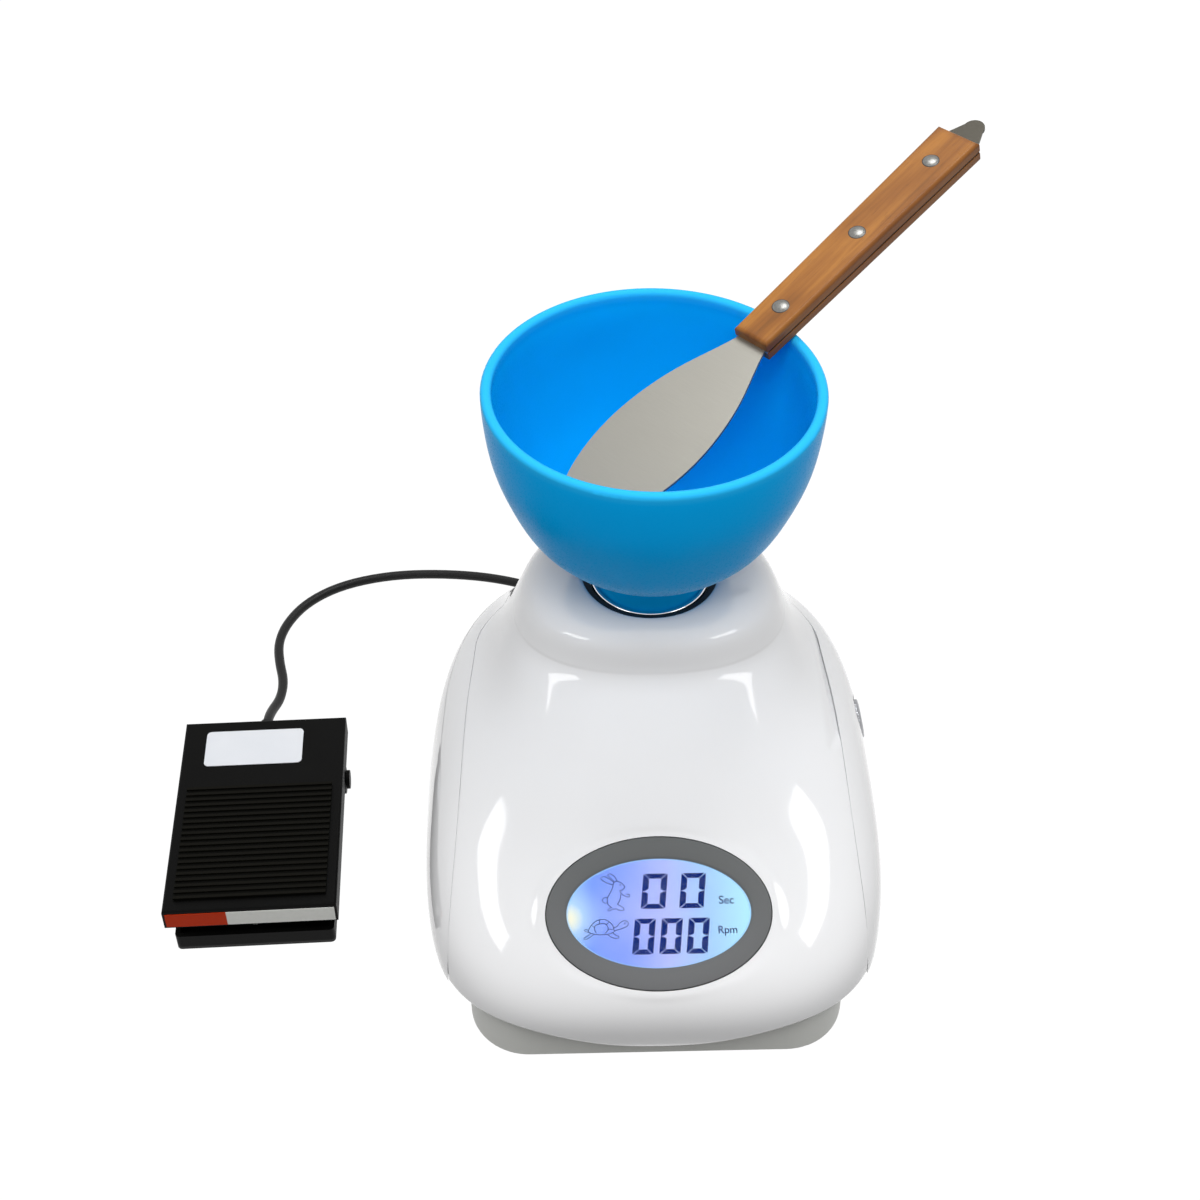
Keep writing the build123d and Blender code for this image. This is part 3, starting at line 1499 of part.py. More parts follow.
def cable_run(route):
    """A cable along straight runs that tangent arcs join."""
    radii = bend_radii(route)
    with BuildPart() as run:
        with BuildLine() as path:
            FilletPolyline(*route, radius=radii)
        with BuildSketch(Plane(origin=path.line @ 0, z_dir=path.line % 0)):
            Circle(cable_radius)
        sweep()
    length = sum(edge.length for edge in path.edges())
    expected = pi * cable_radius**2 * length
    print("cable run", round(length, 1), "volume share", round(run.part.volume / expected, 4))
    print("  radii", [round(radius, 1) for radius in radii])
    return run.part


with BuildPart() as pedal_cable:
    add(cable_run(FLOOR_ROUTE))
    add(cable_run(PLUG_ROUTE))
write(pedal_cable.part, "pedal_cable")

with BuildPart() as cable_coil:
    with Locations((coil_centre[0], coil_centre[1], coil_height)):
        Torus(coil_mean_radius, coil_bundle_radius)
write(cable_coil.part, "cable_coil")

with BuildPart() as cable_plug:
    with BuildSketch(panel_plane(socket_x, socket_z, plug_shoulder_gap)):
        Circle(plug_body_radius)
    extrude(amount=plug_body_length)
    fillet(cable_plug.edges().filter_by(GeomType.CIRCLE), 0.8)
    with BuildSketch(panel_plane(socket_x, socket_z, plug_shoulder_gap + plug_body_length)):
        Circle(plug_sleeve_radius)
    extrude(amount=plug_sleeve_length)
    with BuildSketch(panel_plane(socket_x, socket_z, plug_shoulder_gap)):
        Circle(plug_tip_radius)
    extrude(amount=-plug_tip_length)
write(cable_plug.part, "cable_plug")
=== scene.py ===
# %% [markdown]
# # Dental impression mixer
# This lesson dresses a small clinic machine: a white glossy housing with a lit display, a blue rubber
# mixing bowl that spins on its neck, a steel spatula with a wooden handle, and a foot pedal on a lead.
# The measured solids come from the frame. Here they get finishes, and the parts whose charm is in a
# flowing surface are built again as fine meshes.

import math

import bmesh
import bpy
import numpy as np
from mathutils import Matrix, Vector


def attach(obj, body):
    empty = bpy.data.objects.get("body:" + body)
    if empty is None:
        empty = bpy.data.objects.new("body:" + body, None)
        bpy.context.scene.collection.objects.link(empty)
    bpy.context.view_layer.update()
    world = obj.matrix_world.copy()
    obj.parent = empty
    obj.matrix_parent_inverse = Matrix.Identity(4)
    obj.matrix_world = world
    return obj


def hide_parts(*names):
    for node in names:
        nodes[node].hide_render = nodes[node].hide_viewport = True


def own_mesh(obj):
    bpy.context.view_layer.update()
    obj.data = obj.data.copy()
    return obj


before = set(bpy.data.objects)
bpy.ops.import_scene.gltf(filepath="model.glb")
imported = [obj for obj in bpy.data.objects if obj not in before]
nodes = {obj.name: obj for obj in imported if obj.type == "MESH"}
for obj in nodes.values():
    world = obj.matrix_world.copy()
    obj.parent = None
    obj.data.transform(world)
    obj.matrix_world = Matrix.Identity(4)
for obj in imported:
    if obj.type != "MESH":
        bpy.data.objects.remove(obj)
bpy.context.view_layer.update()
MM = 0.001
print("the frame holds", len(nodes), "solids")

# %% [markdown]
# ## Camera
# Someone who stands at the bench sees the machine from above. So the camera looks down by 43 degrees
# through a moderately long lens, and is turned a little, so that both flanks show.


# %% Camera
def new_object(name, data):
    """An object in the scene that shows the data."""
    made = bpy.data.objects.new(name, data)
    bpy.context.scene.collection.objects.link(made)
    return made


camera_data = bpy.data.cameras.new("studio_camera")
camera_data.lens = 57.0
camera_data.sensor_width = 36.0
camera_data.clip_end = 30.0
camera = new_object("studio_camera", camera_data)
camera.location = (-0.0325, -0.5438, 0.6250)
camera.rotation_euler = (math.radians(46.813), 0.0, math.radians(-1.4))
bpy.context.scene.camera = camera
print("camera lens:", camera_data.lens, "mm")

# %% [markdown]
# ## Writing materials as sums
# A node tree is easier to read as arithmetic. `Wire` wraps one socket, so `1 - mask` or `noise * 0.3`
# adds the Math nodes by itself. `Paint` is one material being mixed; its `node` method makes any other
# node, and `finish` feeds the Principled shader.


# %% One socket as a number
class Wire:
    """One socket of a material that Python's operators work on."""

    def __init__(self, paint, socket):
        self.paint = paint
        self.socket = socket

    def join(self, operation, first, second):
        return self.paint.node("ShaderNodeMath", {"operation": operation}, {0: first, 1: second})

    def __add__(self, other):
        return self.join("ADD", self, other)

    def __radd__(self, other):
        return self.join("ADD", other, self)

    def __sub__(self, other):
        return self.join("SUBTRACT", self, other)

    def __rsub__(self, other):
        return self.join("SUBTRACT", other, self)

    def __mul__(self, other):
        return self.join("MULTIPLY", self, other)

    def __rmul__(self, other):
        return self.join("MULTIPLY", other, self)

    def __pow__(self, other):
        return self.join("POWER", self, other)


# %% A material being mixed
class Paint:
    """A material being mixed, with the Principled shader that it feeds."""

    NAMES = {
        "base": "Base Color",
        "rough": "Roughness",
        "metal": "Metallic",
        "normal": "Normal",
        "coat": "Coat Weight",
        "coat_rough": "Coat Roughness",
        "clear": "Transmission Weight",
        "bend": "IOR",
        "glow": "Emission Color",
        "glow_strength": "Emission Strength",
        "specular": "Specular IOR Level",
    }

    def __init__(self, name):
        self.material = bpy.data.materials.new(name)
        self.material.use_nodes = True
        self.tree = self.material.node_tree
        self.shader = self.tree.nodes["Principled BSDF"]
        self.place = self.node("ShaderNodeTexCoord", out="Object")

    def node(self, kind, settings=None, inputs=None, out=0):
        """Any node: its settings first, then the values or wires of its sockets."""
        made = self.tree.nodes.new(kind)
        for name, value in (settings or {}).items():
            if name == "stops":
                while len(made.color_ramp.elements) < len(value):
                    made.color_ramp.elements.new(0.5)
                for element, (position, colour) in zip(made.color_ramp.elements, value):
                    element.position = position
                    element.color = (*colour, 1.0)
            else:
                setattr(made, name, value)
        for name, value in (inputs or {}).items():
            self.feed(made.inputs[name], value)
        return Wire(self, made.outputs[out])

    def feed(self, socket, value):
        if isinstance(value, Wire):
            self.tree.links.new(value.socket, socket)
        elif isinstance(value, tuple) and len(value) == 3 and socket.type == "RGBA":
            socket.default_value = (*value, 1.0)
        else:
            socket.default_value = value

    def noise(self, scale, detail=3.0, where=None):
        """Cloudy variation from 0 to 1; scale is in features per metre."""
        inputs = {"Vector": where or self.place, "Scale": scale, "Detail": detail}
        return self.node("ShaderNodeTexNoise", {}, inputs)

    def mix(self, amount, first, second):
        """From the first colour to the second one."""
        return self.node("ShaderNodeMix", {"data_type": "RGBA"}, {0: amount, 6: first, 7: second}, 2)

    def ramp(self, amount, *stops):
        return self.node("ShaderNodeValToRGB", {"stops": stops}, {0: amount})

    def span(self, value, low, high):
        """0 below low, 1 above high, and a straight line between."""
        inputs = {"Value": value, "From Min": low, "From Max": high}
        return self.node("ShaderNodeMapRange", {"clamp": True}, inputs)

    def along(self, direction, origin=(0.0, 0.0, 0.0)):
        """Distance along a direction from an origin, in metres."""
        shift = -Vector(origin).dot(Vector(direction))
        inputs = {0: self.place, 1: direction}
        return self.node("ShaderNodeVectorMath", {"operation": "DOT_PRODUCT"}, inputs, 1) + shift

    def bump(self, height, reach, strength=1.0):
        """A normal from a height of 0 to 1, which stands for reach metres."""
        return self.node("ShaderNodeBump", {}, {"Height": height, "Distance": reach, "Strength": strength})

    def finish(self, **sockets):
        for name, value in sockets.items():
            self.feed(self.shader.inputs[self.NAMES[name]], value)
        return self.material


# %% Colours, finishes and pieces
def srgb(red, green, blue):
    """A colour as a screen shows it, 0 to 255, as the linear numbers that a shader wants."""
    shares = [value / 255 for value in (red, green, blue)]
    return tuple(s / 12.92 if s <= 0.04045 else ((s + 0.055) / 1.055) ** 2.4 for s in shares)


def dress(material, *names):
    """Gives CAD solids a finish."""
    for name in names:
        shown = nodes[name]
        if not shown.material_slots:
            shown.data.materials.append(material)
        for slot in shown.material_slots:
            slot.material = material


def add_piece(name, mesh, material, body, *replaced):
    """A new piece that rides on a body and stands for the CAD solids named last."""
    piece = new_object(name, mesh)
    piece.data.materials.append(material)
    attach(piece, body)
    if replaced:
        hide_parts(*replaced)
    return piece


def baked(data):
    """The mesh that a curve or a text stands for."""
    holder = new_object(data.name, data)
    mesh = bpy.data.meshes.new_from_object(holder.evaluated_get(bpy.context.evaluated_depsgraph_get()))
    bpy.data.objects.remove(holder)
    return mesh


# %% [markdown]
# ## Studio
# The floor and the surroundings look white to the camera, to glossy surfaces and through glass, but they
# light the object only mildly. The floor mixes a share of that white with real diffuse paint, which is
# what lets it keep the soft shadow under the machine.


# %% Floor
def white_to_viewers(tree, brightness):
    """A factor that is 1 for rays that are seen: straight, in a gloss or through glass."""
    path = tree.nodes.new("ShaderNodeLightPath")
    total = path.outputs["Is Camera Ray"]
    for name in ("Is Glossy Ray", "Is Transmission Ray"):
        either = tree.nodes.new("ShaderNodeMath")
        either.operation = "MAXIMUM"
        tree.links.new(total, either.inputs[0])
        tree.links.new(path.outputs[name], either.inputs[1])
        total = either.outputs[0]
    scaled = tree.nodes.new("ShaderNodeMath")
    scaled.operation = "MULTIPLY"
    scaled.inputs[1].default_value = brightness
    tree.links.new(total, scaled.inputs[0])
    return scaled.outputs[0]


def end_tree(tree, kind, brightness, plain, white):
    """The white shader for what is seen, and the plain one for the light that falls on things."""
    blend = tree.nodes.new("ShaderNodeMixShader")
    tree.links.new(white_to_viewers(tree, brightness), blend.inputs[0])
    tree.links.new(plain.outputs[0], blend.inputs[1])
    tree.links.new(white.outputs[0], blend.inputs[2])
    tree.links.new(blend.outputs[0], tree.nodes.new(kind).inputs[0])


floor_mesh = bpy.data.meshes.new("studio_floor")
floor_mesh.from_pydata([(-6, -6, 0), (6, -6, 0), (6, 6, 0), (-6, 6, 0)], [], [(0, 1, 2, 3)])
floor = new_object("studio_floor", floor_mesh)
floor.location.z = -0.0002  # just under the feet, so that the two faces don't flicker
floor_paint = bpy.data.materials.new("studio_floor")
floor_paint.use_nodes = True
floor_nodes = floor_paint.node_tree.nodes
floor_nodes.clear()
diffuse = floor_nodes.new("ShaderNodeBsdfDiffuse")
diffuse.inputs["Color"].default_value = (0.16, 0.16, 0.16, 1.0)
glow = floor_nodes.new("ShaderNodeEmission")
glow.inputs["Strength"].default_value = 1.24
end_tree(floor_paint.node_tree, "ShaderNodeOutputMaterial", 0.82, diffuse, glow)
floor_mesh.materials.append(floor_paint)
print("floor:", floor.dimensions.x, "m wide")

# %% Surroundings: brighter above and at the two sides
world = bpy.data.worlds.new("studio")
bpy.context.scene.world = world
world.use_nodes = True
world_nodes = world.node_tree.nodes
world_nodes.clear()
ambient = world_nodes.new("ShaderNodeBackground")
sky = Paint.__new__(Paint)  # the sky has no Principled shader, so it skips the usual start
sky.tree = world.node_tree
sky.place = sky.node("ShaderNodeTexCoord", out="Generated")
parts = sky.node("ShaderNodeSeparateXYZ", {}, {0: sky.place}).socket.node
side, height = Wire(sky, parts.outputs["X"]), Wire(sky, parts.outputs["Z"])
daylight = 0.08 + 0.26 * sky.span(height, 0.0, 1.0) + 0.72 * (side * side)
sky.feed(ambient.inputs["Strength"], daylight)
seen = world_nodes.new("ShaderNodeBackground")
seen.inputs["Color"].default_value = (1.0, 1.0, 1.0, 1.0)
end_tree(world.node_tree, "ShaderNodeOutputWorld", 1.0, ambient, seen)
bpy.context.scene.view_settings.view_transform = "Standard"
print("nodes in the sky:", len(world_nodes))


# %% Softboxes
def softbox(name, place, aim, width, height, power):
    """A rectangular lamp that faces a point: metres and watts."""
    lamp = bpy.data.lights.new(name, "AREA")
    lamp.shape = "RECTANGLE"
    lamp.size = width
    lamp.size_y = height
    lamp.energy = power
    box = new_object(name, lamp)
    box.location = place
    box.rotation_euler = (Vector(aim) - Vector(place)).to_track_quat("-Z", "Y").to_euler()
    return box


# Two small near ones make the highlights on the front, and the large ones light it.
for hand, sign in (("left", -1), ("right", 1)):
    place, aim = (0.187 * sign, -0.172, 0.262), (0.058 * sign, -0.09, 0.066)
    softbox(hand + "_softbox", place, aim, 0.115, 0.042, 0.06).visible_camera = False
softbox("top_softbox", (0.10, 0.30, 1.0), (0.0, 0.0, 0.2), 0.35, 0.35, 2.6)
key = softbox("overhead_fill", (0.0, -0.60, 1.34), (0.0, -0.05, 0.1), 0.9, 0.7, 11.6)
key.visible_glossy = False
print("lamps:", len(bpy.data.lights))

# %% [markdown]
# ## The housing as a surface
# The housing is one flowing body: a wide flat front, a rounder back and a round neck. A grid of rings
# suits it best. Each ring is a rounded rectangle (a superellipse) whose size and fullness change with
# height, and a smooth curve through a few measured rings gives all the rings between.

# %% Rings of the housing
# Height, half width, reach forward, reach back, widest line, front fullness, back fullness (mm)
STATIONS = (
    (8.0, 83.6, 134.6, 58.5, -40.0, 3.8, 2.4),
    (14.0, 85.8, 138.4, 62.0, -40.0, 3.8, 2.4),
    (20.0, 87.6, 140.2, 65.5, -40.0, 3.8, 2.4),
    (30.0, 89.2, 140.6, 68.5, -39.0, 3.8, 2.4),
    (38.0, 89.4, 137.4, 70.2, -37.0, 3.8, 2.4),
    (44.0, 89.2, 131.8, 70.6, -35.0, 3.8, 2.4),
    (58.0, 86.8, 109.0, 69.4, -28.0, 3.8, 2.4),
    (70.0, 82.8, 89.4, 66.0, -18.0, 3.6, 2.4),
    (80.0, 76.0, 76.8, 59.8, -8.0, 3.2, 2.4),
    (88.0, 67.5, 66.9, 55.0, -2.0, 2.9, 2.3),
    (97.0, 60.6, 55.6, 54.0, 0.0, 2.6, 2.1),
    (104.0, 56.9, 46.4, 54.0, 0.0, 2.5, 2.0),
    (110.0, 54.2, 40.0, 53.4, 0.0, 2.4, 2.0),
    (118.0, 50.9, 37.4, 51.2, 0.0, 2.4, 2.0),
    (126.0, 47.8, 36.4, 47.8, 0.0, 2.4, 2.0),
    (134.0, 44.6, 35.4, 44.6, 0.0, 2.0, 2.0),
)
STATIONS = np.array(STATIONS)


def smooth_through(heights, values, wanted):
    """A curve with no kinks through the points (a natural cubic spline)."""
    gaps = np.diff(heights)
    slopes = np.diff(values) / gaps
    count = len(heights)
    system = np.eye(count)
    right = np.zeros(count)
    for i in range(1, count - 1):
        system[i, i - 1 : i + 2] = gaps[i - 1], 2 * (gaps[i - 1] + gaps[i]), gaps[i]
        right[i] = 6 * (slopes[i] - slopes[i - 1])
    curve = np.linalg.solve(system, right)
    cell = np.clip(np.searchsorted(heights, wanted) - 1, 0, count - 2)
    ahead = wanted - heights[cell]
    gap, bend, next_bend = gaps[cell], curve[cell], curve[cell + 1]
    rise = slopes[cell] - gap * (2 * bend + next_bend) / 6
    return values[cell] + ahead * (rise + ahead * (bend / 2 + ahead * (next_bend - bend) / (6 * gap)))


def ring(height, angle, inset=0.0):
    """X and Y of the housing at one height, round its own widest line."""
    sizes = (smooth_through(STATIONS[:, 0], column, height) for column in STATIONS[:, 1:].T)
    half, front, back, middle, fore, aft = sizes
    ahead = np.sin(angle) < 0
    reach = np.where(ahead, front + middle, back - middle) - inset
    fullness = np.where(ahead, fore, aft)
    across = np.abs(np.cos(angle)) / (half - inset)
    deep = np.abs(np.sin(angle)) / reach
    radius = (across**fullness + deep**fullness) ** (-1 / fullness)
    return radius * np.cos(angle), middle + radius * np.sin(angle)


print("the housing is widest at", STATIONS[STATIONS[:, 1].argmax(), 0], "mm above the floor")

# %% Rows from the lower lip to the neck opening
COLUMNS = 520
angles = np.linspace(0, 2 * math.pi, COLUMNS, endpoint=False)
CURL = 2.4  # radius of the lip's rolled edge
LIP_LEVEL = 27.0  # height of the lip away from the chin
# The lip at the chin: millimetres across, and its height there
CHIN = ((0, 15, 30, 40, 50, 62, 200), (9.6, 11.4, 18.2, 23.0, 26.0, 26.8, 27.0))
BLUR = 30  # columns each way that the lip's height is smoothed over
NECK_FOOT = 112.0
# The neck as (radius, height): at the sides and the back, and in front
NECK_LINE = ((53.4, NECK_FOOT), (51.6, 116.5), (49.6, 120.8), (46.6, 124.6), (42.0, 127.5), (37.0, 129.1))
NECK_LINE += ((32.0, 130.1), (28.6, 130.45), (27.2, 130.3), (26.5, 129.4), (26.5, 126.2))
FRONT_NECK_LINE = ((38.9, NECK_FOOT), (38.3, 114.4), (37.8, 117.3), (37.2, 120.4), (36.1, 123.4))
FRONT_NECK_LINE += ((34.2, 126.1), (31.8, 128.2), (29.8, 129.5), (28.4, 130.1), (27.2, 130.1), (26.5, 129.3))
FRONT_NECK_LINE += ((26.5, 126.2),)


def step(value, low, high):
    """0 below low, 1 above high, and a soft rise between."""
    share = np.clip((value - low) / (high - low), 0, 1)
    return share * share * (3 - 2 * share)


def neck_rows(line):
    """Radius and height at even steps along a neck line."""
    line = np.array(line)
    steps = np.concatenate(([0], np.cumsum(np.hypot(*np.diff(line, axis=0).T))))
    wanted = np.linspace(0, steps[-1], 56)[1:]
    return np.stack([smooth_through(steps, column, wanted) for column in line.T], axis=1)


def lip_height(x, y):
    """The lower edge dips at the chin and is level at the sides and the back."""
    return np.where(y < -20, np.interp(np.abs(x), *CHIN), LIP_LEVEL)


def body_rows():
    """Arrays of X, Y and Z, one row per ring, in millimetres."""
    rows = []
    x, y = ring(np.full(COLUMNS, LIP_LEVEL), angles)
    lip = lip_height(x, y)
    weights = np.hanning(2 * BLUR + 1)
    lip = np.convolve(np.concatenate((lip[-BLUR:], lip, lip[:BLUR])), weights / weights.sum(), "valid")
    for turn in np.linspace(90, 10, 6):
        height = lip + CURL * (1 - math.sin(math.radians(turn)))
        inset = CURL * (1 - math.cos(math.radians(turn)))
        x, y = ring(height, angles, inset)
        rows.append((x, y, height))
    start = lip + CURL
    for share in np.linspace(0, 1, 150):
        height = start + (NECK_FOOT - start) * share
        x, y = ring(height, angles)
        rows.append((x, y, height))
    sides, fore = (neck_rows(line) for line in (NECK_LINE, FRONT_NECK_LINE))
    ahead = np.sin(angles) < 0
    for (radius, height), (fore_radius, fore_height) in zip(sides, fore):
        deep = np.where(ahead, fore_radius, radius)
        fullness = np.where(ahead, 2.0 + 0.4 * min(1.0, max(0.0, (radius - 27.0) / 20.0)), 2.0)
        across, along = np.abs(np.cos(angles)) / radius, np.abs(np.sin(angles)) / deep
        reach = (across**fullness + along**fullness) ** (-1 / fullness)
        level = height + (fore_height - height) * np.where(ahead, np.sin(angles) ** 2, 0)
        rows.append((reach * np.cos(angles), reach * np.sin(angles), level))
    return np.array(rows)


print("neck opening:", 2 * NECK_LINE[-1][0], "mm wide")

# %% [markdown]
# ## Marks on the housing
# Three things interrupt the flow: the flat land that the display sits in, the leaf-shaped thumb recess
# by the speed knob, and the seams. The first two move the surface by a few millimetres. The seams and
# openings are cut: where a function of position is zero, the faces are split, so every edge is clean
# however the grid lies.

# %% Land for the display and recess by the knob
SLOPE = math.radians(32.0)
DISPLAY = np.array((0.0, -109.6, 57.4))
DISPLAY_UP = np.array((0.0, math.cos(SLOPE), math.sin(SLOPE)))
DISPLAY_OUT = np.array((0.0, -math.sin(SLOPE), math.cos(SLOPE)))
BEZEL = (42.0, 28.3)  # half width and half height of its outline, mm


def on_display(points):
    """How far points lie across, up and out of the display's plane."""
    local = points - DISPLAY
    return local[..., 0], local @ DISPLAY_UP, local @ DISPLAY_OUT


def bezel_share(points):
    """1 just outside the bezel's outline, less inside it."""
    across, up = on_display(points)[:2]
    return np.hypot(across / (BEZEL[0] + 0.3), up / (BEZEL[1] + 0.3))


def lay_display_land(points):
    """Flattens the shell onto the display's plane."""
    out = on_display(points)[2]
    pull = (1 - step(bezel_share(points), 1.02, 1.15)) * (out > -25)
    return points - (out * pull)[..., None] * DISPLAY_OUT


LEAF_DEPTH = 1.2
LEAF = ((-51.0, 80.5), (-41.0, 79.0), (-30.0, 76.0), (-22.0, 71.5), (-14.0, 67.5), (-4.0, 70.0), (4.0, 76.0))
LEAF += ((14.0, 84.0), (18.0, 96.0), (-20.0, 96.0), (-52.0, 90.0))


def edge_distance(points, outline):
    """Signed distance to a closed outline in a plane: less than 0 inside."""
    corners = np.array(outline)
    nearest = np.full(points.shape[:-1], 1e9)
    inside = np.zeros(points.shape[:-1], bool)
    for first, second in zip(corners, np.roll(corners, -1, axis=0)):
        side = second - first
        share = np.clip((points - first) @ side / (side @ side), 0, 1)
        nearest = np.minimum(nearest, np.linalg.norm(points - first - share[..., None] * side, axis=-1))
        crosses = (first[1] > points[..., 1]) != (second[1] > points[..., 1])
        with np.errstate(divide="ignore", invalid="ignore"):
            meets = first[0] + (points[..., 1] - first[1]) * side[0] / side[1]
        inside ^= crosses & (points[..., 0] < meets)
    return np.where(inside, -nearest, nearest)


def press_leaf(points):
    """A shallow recess with a leaf's outline on the right flank, over the knob."""
    flank = points[..., 0] > 55
    depth = 1 - step(edge_distance(points[..., 1:], LEAF), -1.1, 0.3)
    lower = LEAF_DEPTH * depth * flank * step(points[..., 0], 66.0, 74.0)
    moved = points.copy()
    moved[..., 0] -= lower
    moved[..., 2] -= 0.4 * lower
    return moved


print("display leans back by", round(90 - math.degrees(SLOPE)), "degrees")

# %% The seam between hood and rear shell
SEAM = ((57.0, 15.2), (61.8, 16.8), (66.3, 13.2), (69.4, 1.0), (71.5, -20.0), (73.0, -42.0), (74.2, -62.0))
SEAM += ((76.5, -88.0), (78.5, -108.0), (80.0, -150.0))
NECK_DISC = 59.0


def hood_outline():
    """The hood's plan as a closed line: the right seam, the left seam and the neck disc's back."""
    seam = np.array(SEAM)
    steps = np.concatenate(([0], np.cumsum(np.hypot(*np.diff(seam, axis=0).T))))
    wanted = np.linspace(0, steps[-1], 70)
    x, y = (smooth_through(steps, seam[:, k], wanted) for k in (0, 1))
    right = list(zip(x, y))
    left = [(-x, y) for x, y in reversed(right)]
    start = math.atan2(*reversed(SEAM[0]))
    turns = np.linspace(math.pi - start, start, 60)[1:-1]
    return right + left + [(NECK_DISC * math.cos(a), NECK_DISC * math.sin(a)) for a in turns]


HOOD_PLAN = hood_outline()
print("corners in the hood's plan:", len(HOOD_PLAN))


def seam_distance(points):
    """Signed distance to the seam in plan: less than 0 on the hood."""
    return edge_distance(points[..., :2], HOOD_PLAN)


# %% Cutting a mesh where a function is zero
SNAP = 0.02  # a corner that is nearer than this lies on the cut, mm


def trim(grid, function):
    """Splits the faces along function = 0 and drops the side where it is above 0."""
    grid.verts.ensure_lookup_table()
    points = np.array([v.co for v in grid.verts]) / MM
    values = function(points)
    values[np.abs(values) < SNAP] = 0.0
    mark = grid.verts.layers.float.get("mark") or grid.verts.layers.float.new("mark")
    for vertex, value in zip(grid.verts, values):
        vertex[mark] = value
    for edge in [e for e in grid.edges if e.verts[0][mark] * e.verts[1][mark] < 0]:
        first, second = edge.verts
        share = first[mark] / (first[mark] - second[mark])
        bmesh.utils.edge_split(edge, first, share)[1][mark] = 0.0
    for face in [f for f in grid.faces if min(v[mark] for v in f.verts) < 0 < max(v[mark] for v in f.verts)]:
        ends = [v for v in face.verts if v[mark] == 0.0]
        if len(ends) == 2:
            bmesh.utils.face_split(face, ends[0], ends[1])
    outside = [f for f in grid.faces if sum(v[mark] for v in f.verts) > 0]
    bmesh.ops.delete(grid, geom=outside, context="FACES")
    return grid


def bridge(grid, rings, turns):
    """Faces between rings; a ring of one vertex closes the end."""
    for lower, upper in zip(rings, rings[1:]):
        for k in range(turns):
            following = (k + 1) % turns
            corners = [lower[k % len(lower)], lower[following % len(lower)]]
            corners += [upper[following % len(upper)], upper[k % len(upper)]]
            grid.faces.new(list(dict.fromkeys(corners)))
    return grid


def grid_mesh(rows):
    """A tube of quads from rows of points that close round, in millimetres."""
    grid = bmesh.new()
    return bridge(grid, [[grid.verts.new(Vector(p) * MM) for p in row] for row in rows], COLUMNS)


def thicken(grid, name, wall):
    """Gives the surface its wall, inwards, and keeps the edges of the cut crisp."""
    mesh = bpy.data.meshes.new(name)
    grid.to_mesh(mesh)
    grid.free()
    holder = new_object(name, mesh)
    solid = holder.modifiers.new("wall", "SOLIDIFY")
    solid.thickness = wall * MM
    solid.offset = -1.0
    solid.use_even_offset = False
    result = bpy.data.meshes.new_from_object(holder.evaluated_get(bpy.context.evaluated_depsgraph_get()))
    bpy.data.objects.remove(holder)
    result.shade_smooth()
    result.set_sharp_from_angle(angle=math.radians(38))
    return result


# %% Build the hood
HOOD_WALL = 2.4
TONGUE_WALL = 0.8
points = np.moveaxis(body_rows(), 1, -1)
points = press_leaf(lay_display_land(points))
print("housing grid:", points.shape[0], "rings of", points.shape[1])


def display_opening(points):
    """About how far points lie inside the bezel's outline in mm; only the front is cut."""
    return np.where(points[..., 1] < -60, (1 - bezel_share(points)) * 28, -9.0)


hood_grid = grid_mesh(points)
trim(hood_grid, seam_distance)
trim(hood_grid, display_opening)
hood_mesh = thicken(hood_grid, "front_hood_skin", HOOD_WALL)
print("hood faces:", len(hood_mesh.polygons))

# A tongue behind the seam keeps it a shallow line instead of a dark slot.
TONGUE_HALF, TONGUE_DEPTH = 1.6, 0.5  # half width, and depth under the skin
tongue_grid = grid_mesh(points[8:150])
trim(tongue_grid, lambda p: seam_distance(p) - TONGUE_HALF)
trim(tongue_grid, lambda p: -seam_distance(p) - TONGUE_HALF)
tongue_grid.normal_update()
for vertex in tongue_grid.verts:
    vertex.co -= vertex.normal * TONGUE_DEPTH * MM
tongue_mesh = thicken(tongue_grid, "seam_tongue", TONGUE_WALL)
print("tongue faces:", len(tongue_mesh.polygons))


# %% Housing finish
def shell_paint():
    paint = Paint("shell_white")
    cloud = paint.noise(18.0, 2.0)
    grain = paint.noise(900.0, 2.0)
    return paint.finish(
        base=paint.mix(cloud, srgb(230, 230, 231), srgb(235, 235, 236)),
        rough=0.06 + grain * 0.05,
        coat=0.5,
        coat_rough=0.03,
    )


SHELL = shell_paint()
add_piece("hood_skin", hood_mesh, SHELL, "machine", "front_hood")
add_piece("seam_tongue", tongue_mesh, SHELL, "machine")
dress(SHELL, "rear_shell")
print("finish:", SHELL.name)

# %% [markdown]
# ## Plain stuffs
# Most of the solids are one of four stuffs: moulded plastic or rubber, turned or rolled metal, circuit
# board, and card or tape. Each has its own small recipe, and a solid is named once with its stuff.


# %% Recipes for plastic, rubber and metal
def moulded(name, low, high, rough=0.35, cloud=40.0, texture=1500.0, depth=0.00003, **more):
    """Two close tones in soft clouds, with a fine skin texture."""
    paint = Paint(name)
    fine = paint.noise(texture, 2.0)
    return paint.finish(
        base=paint.mix(paint.noise(cloud), srgb(*low), srgb(*high)),
        rough=rough - 0.04 + fine * 0.08,
        normal=paint.bump(fine, depth, 0.35),
        **more,
    )


def metal(name, low, high, rough=0.3, grain=(2400.0, 2400.0, 60.0)):
    """Metal with the fine parallel marks of a tool; grain is in marks per metre along X, Y and Z."""
    paint = Paint(name)
    stretched = paint.node("ShaderNodeVectorMath", {"operation": "MULTIPLY"}, {0: paint.place, 1: grain})
    marks = paint.noise(1.0, 3.0, stretched)
    wear = paint.noise(90.0, 3.0)
    return paint.finish(
        base=paint.mix(wear * 0.5 + marks * 0.5, srgb(*low), srgb(*high)),
        rough=rough - 0.06 + marks * 0.12,
        normal=paint.bump(marks, 0.00001, 0.25),
        metal=1.0,
    )


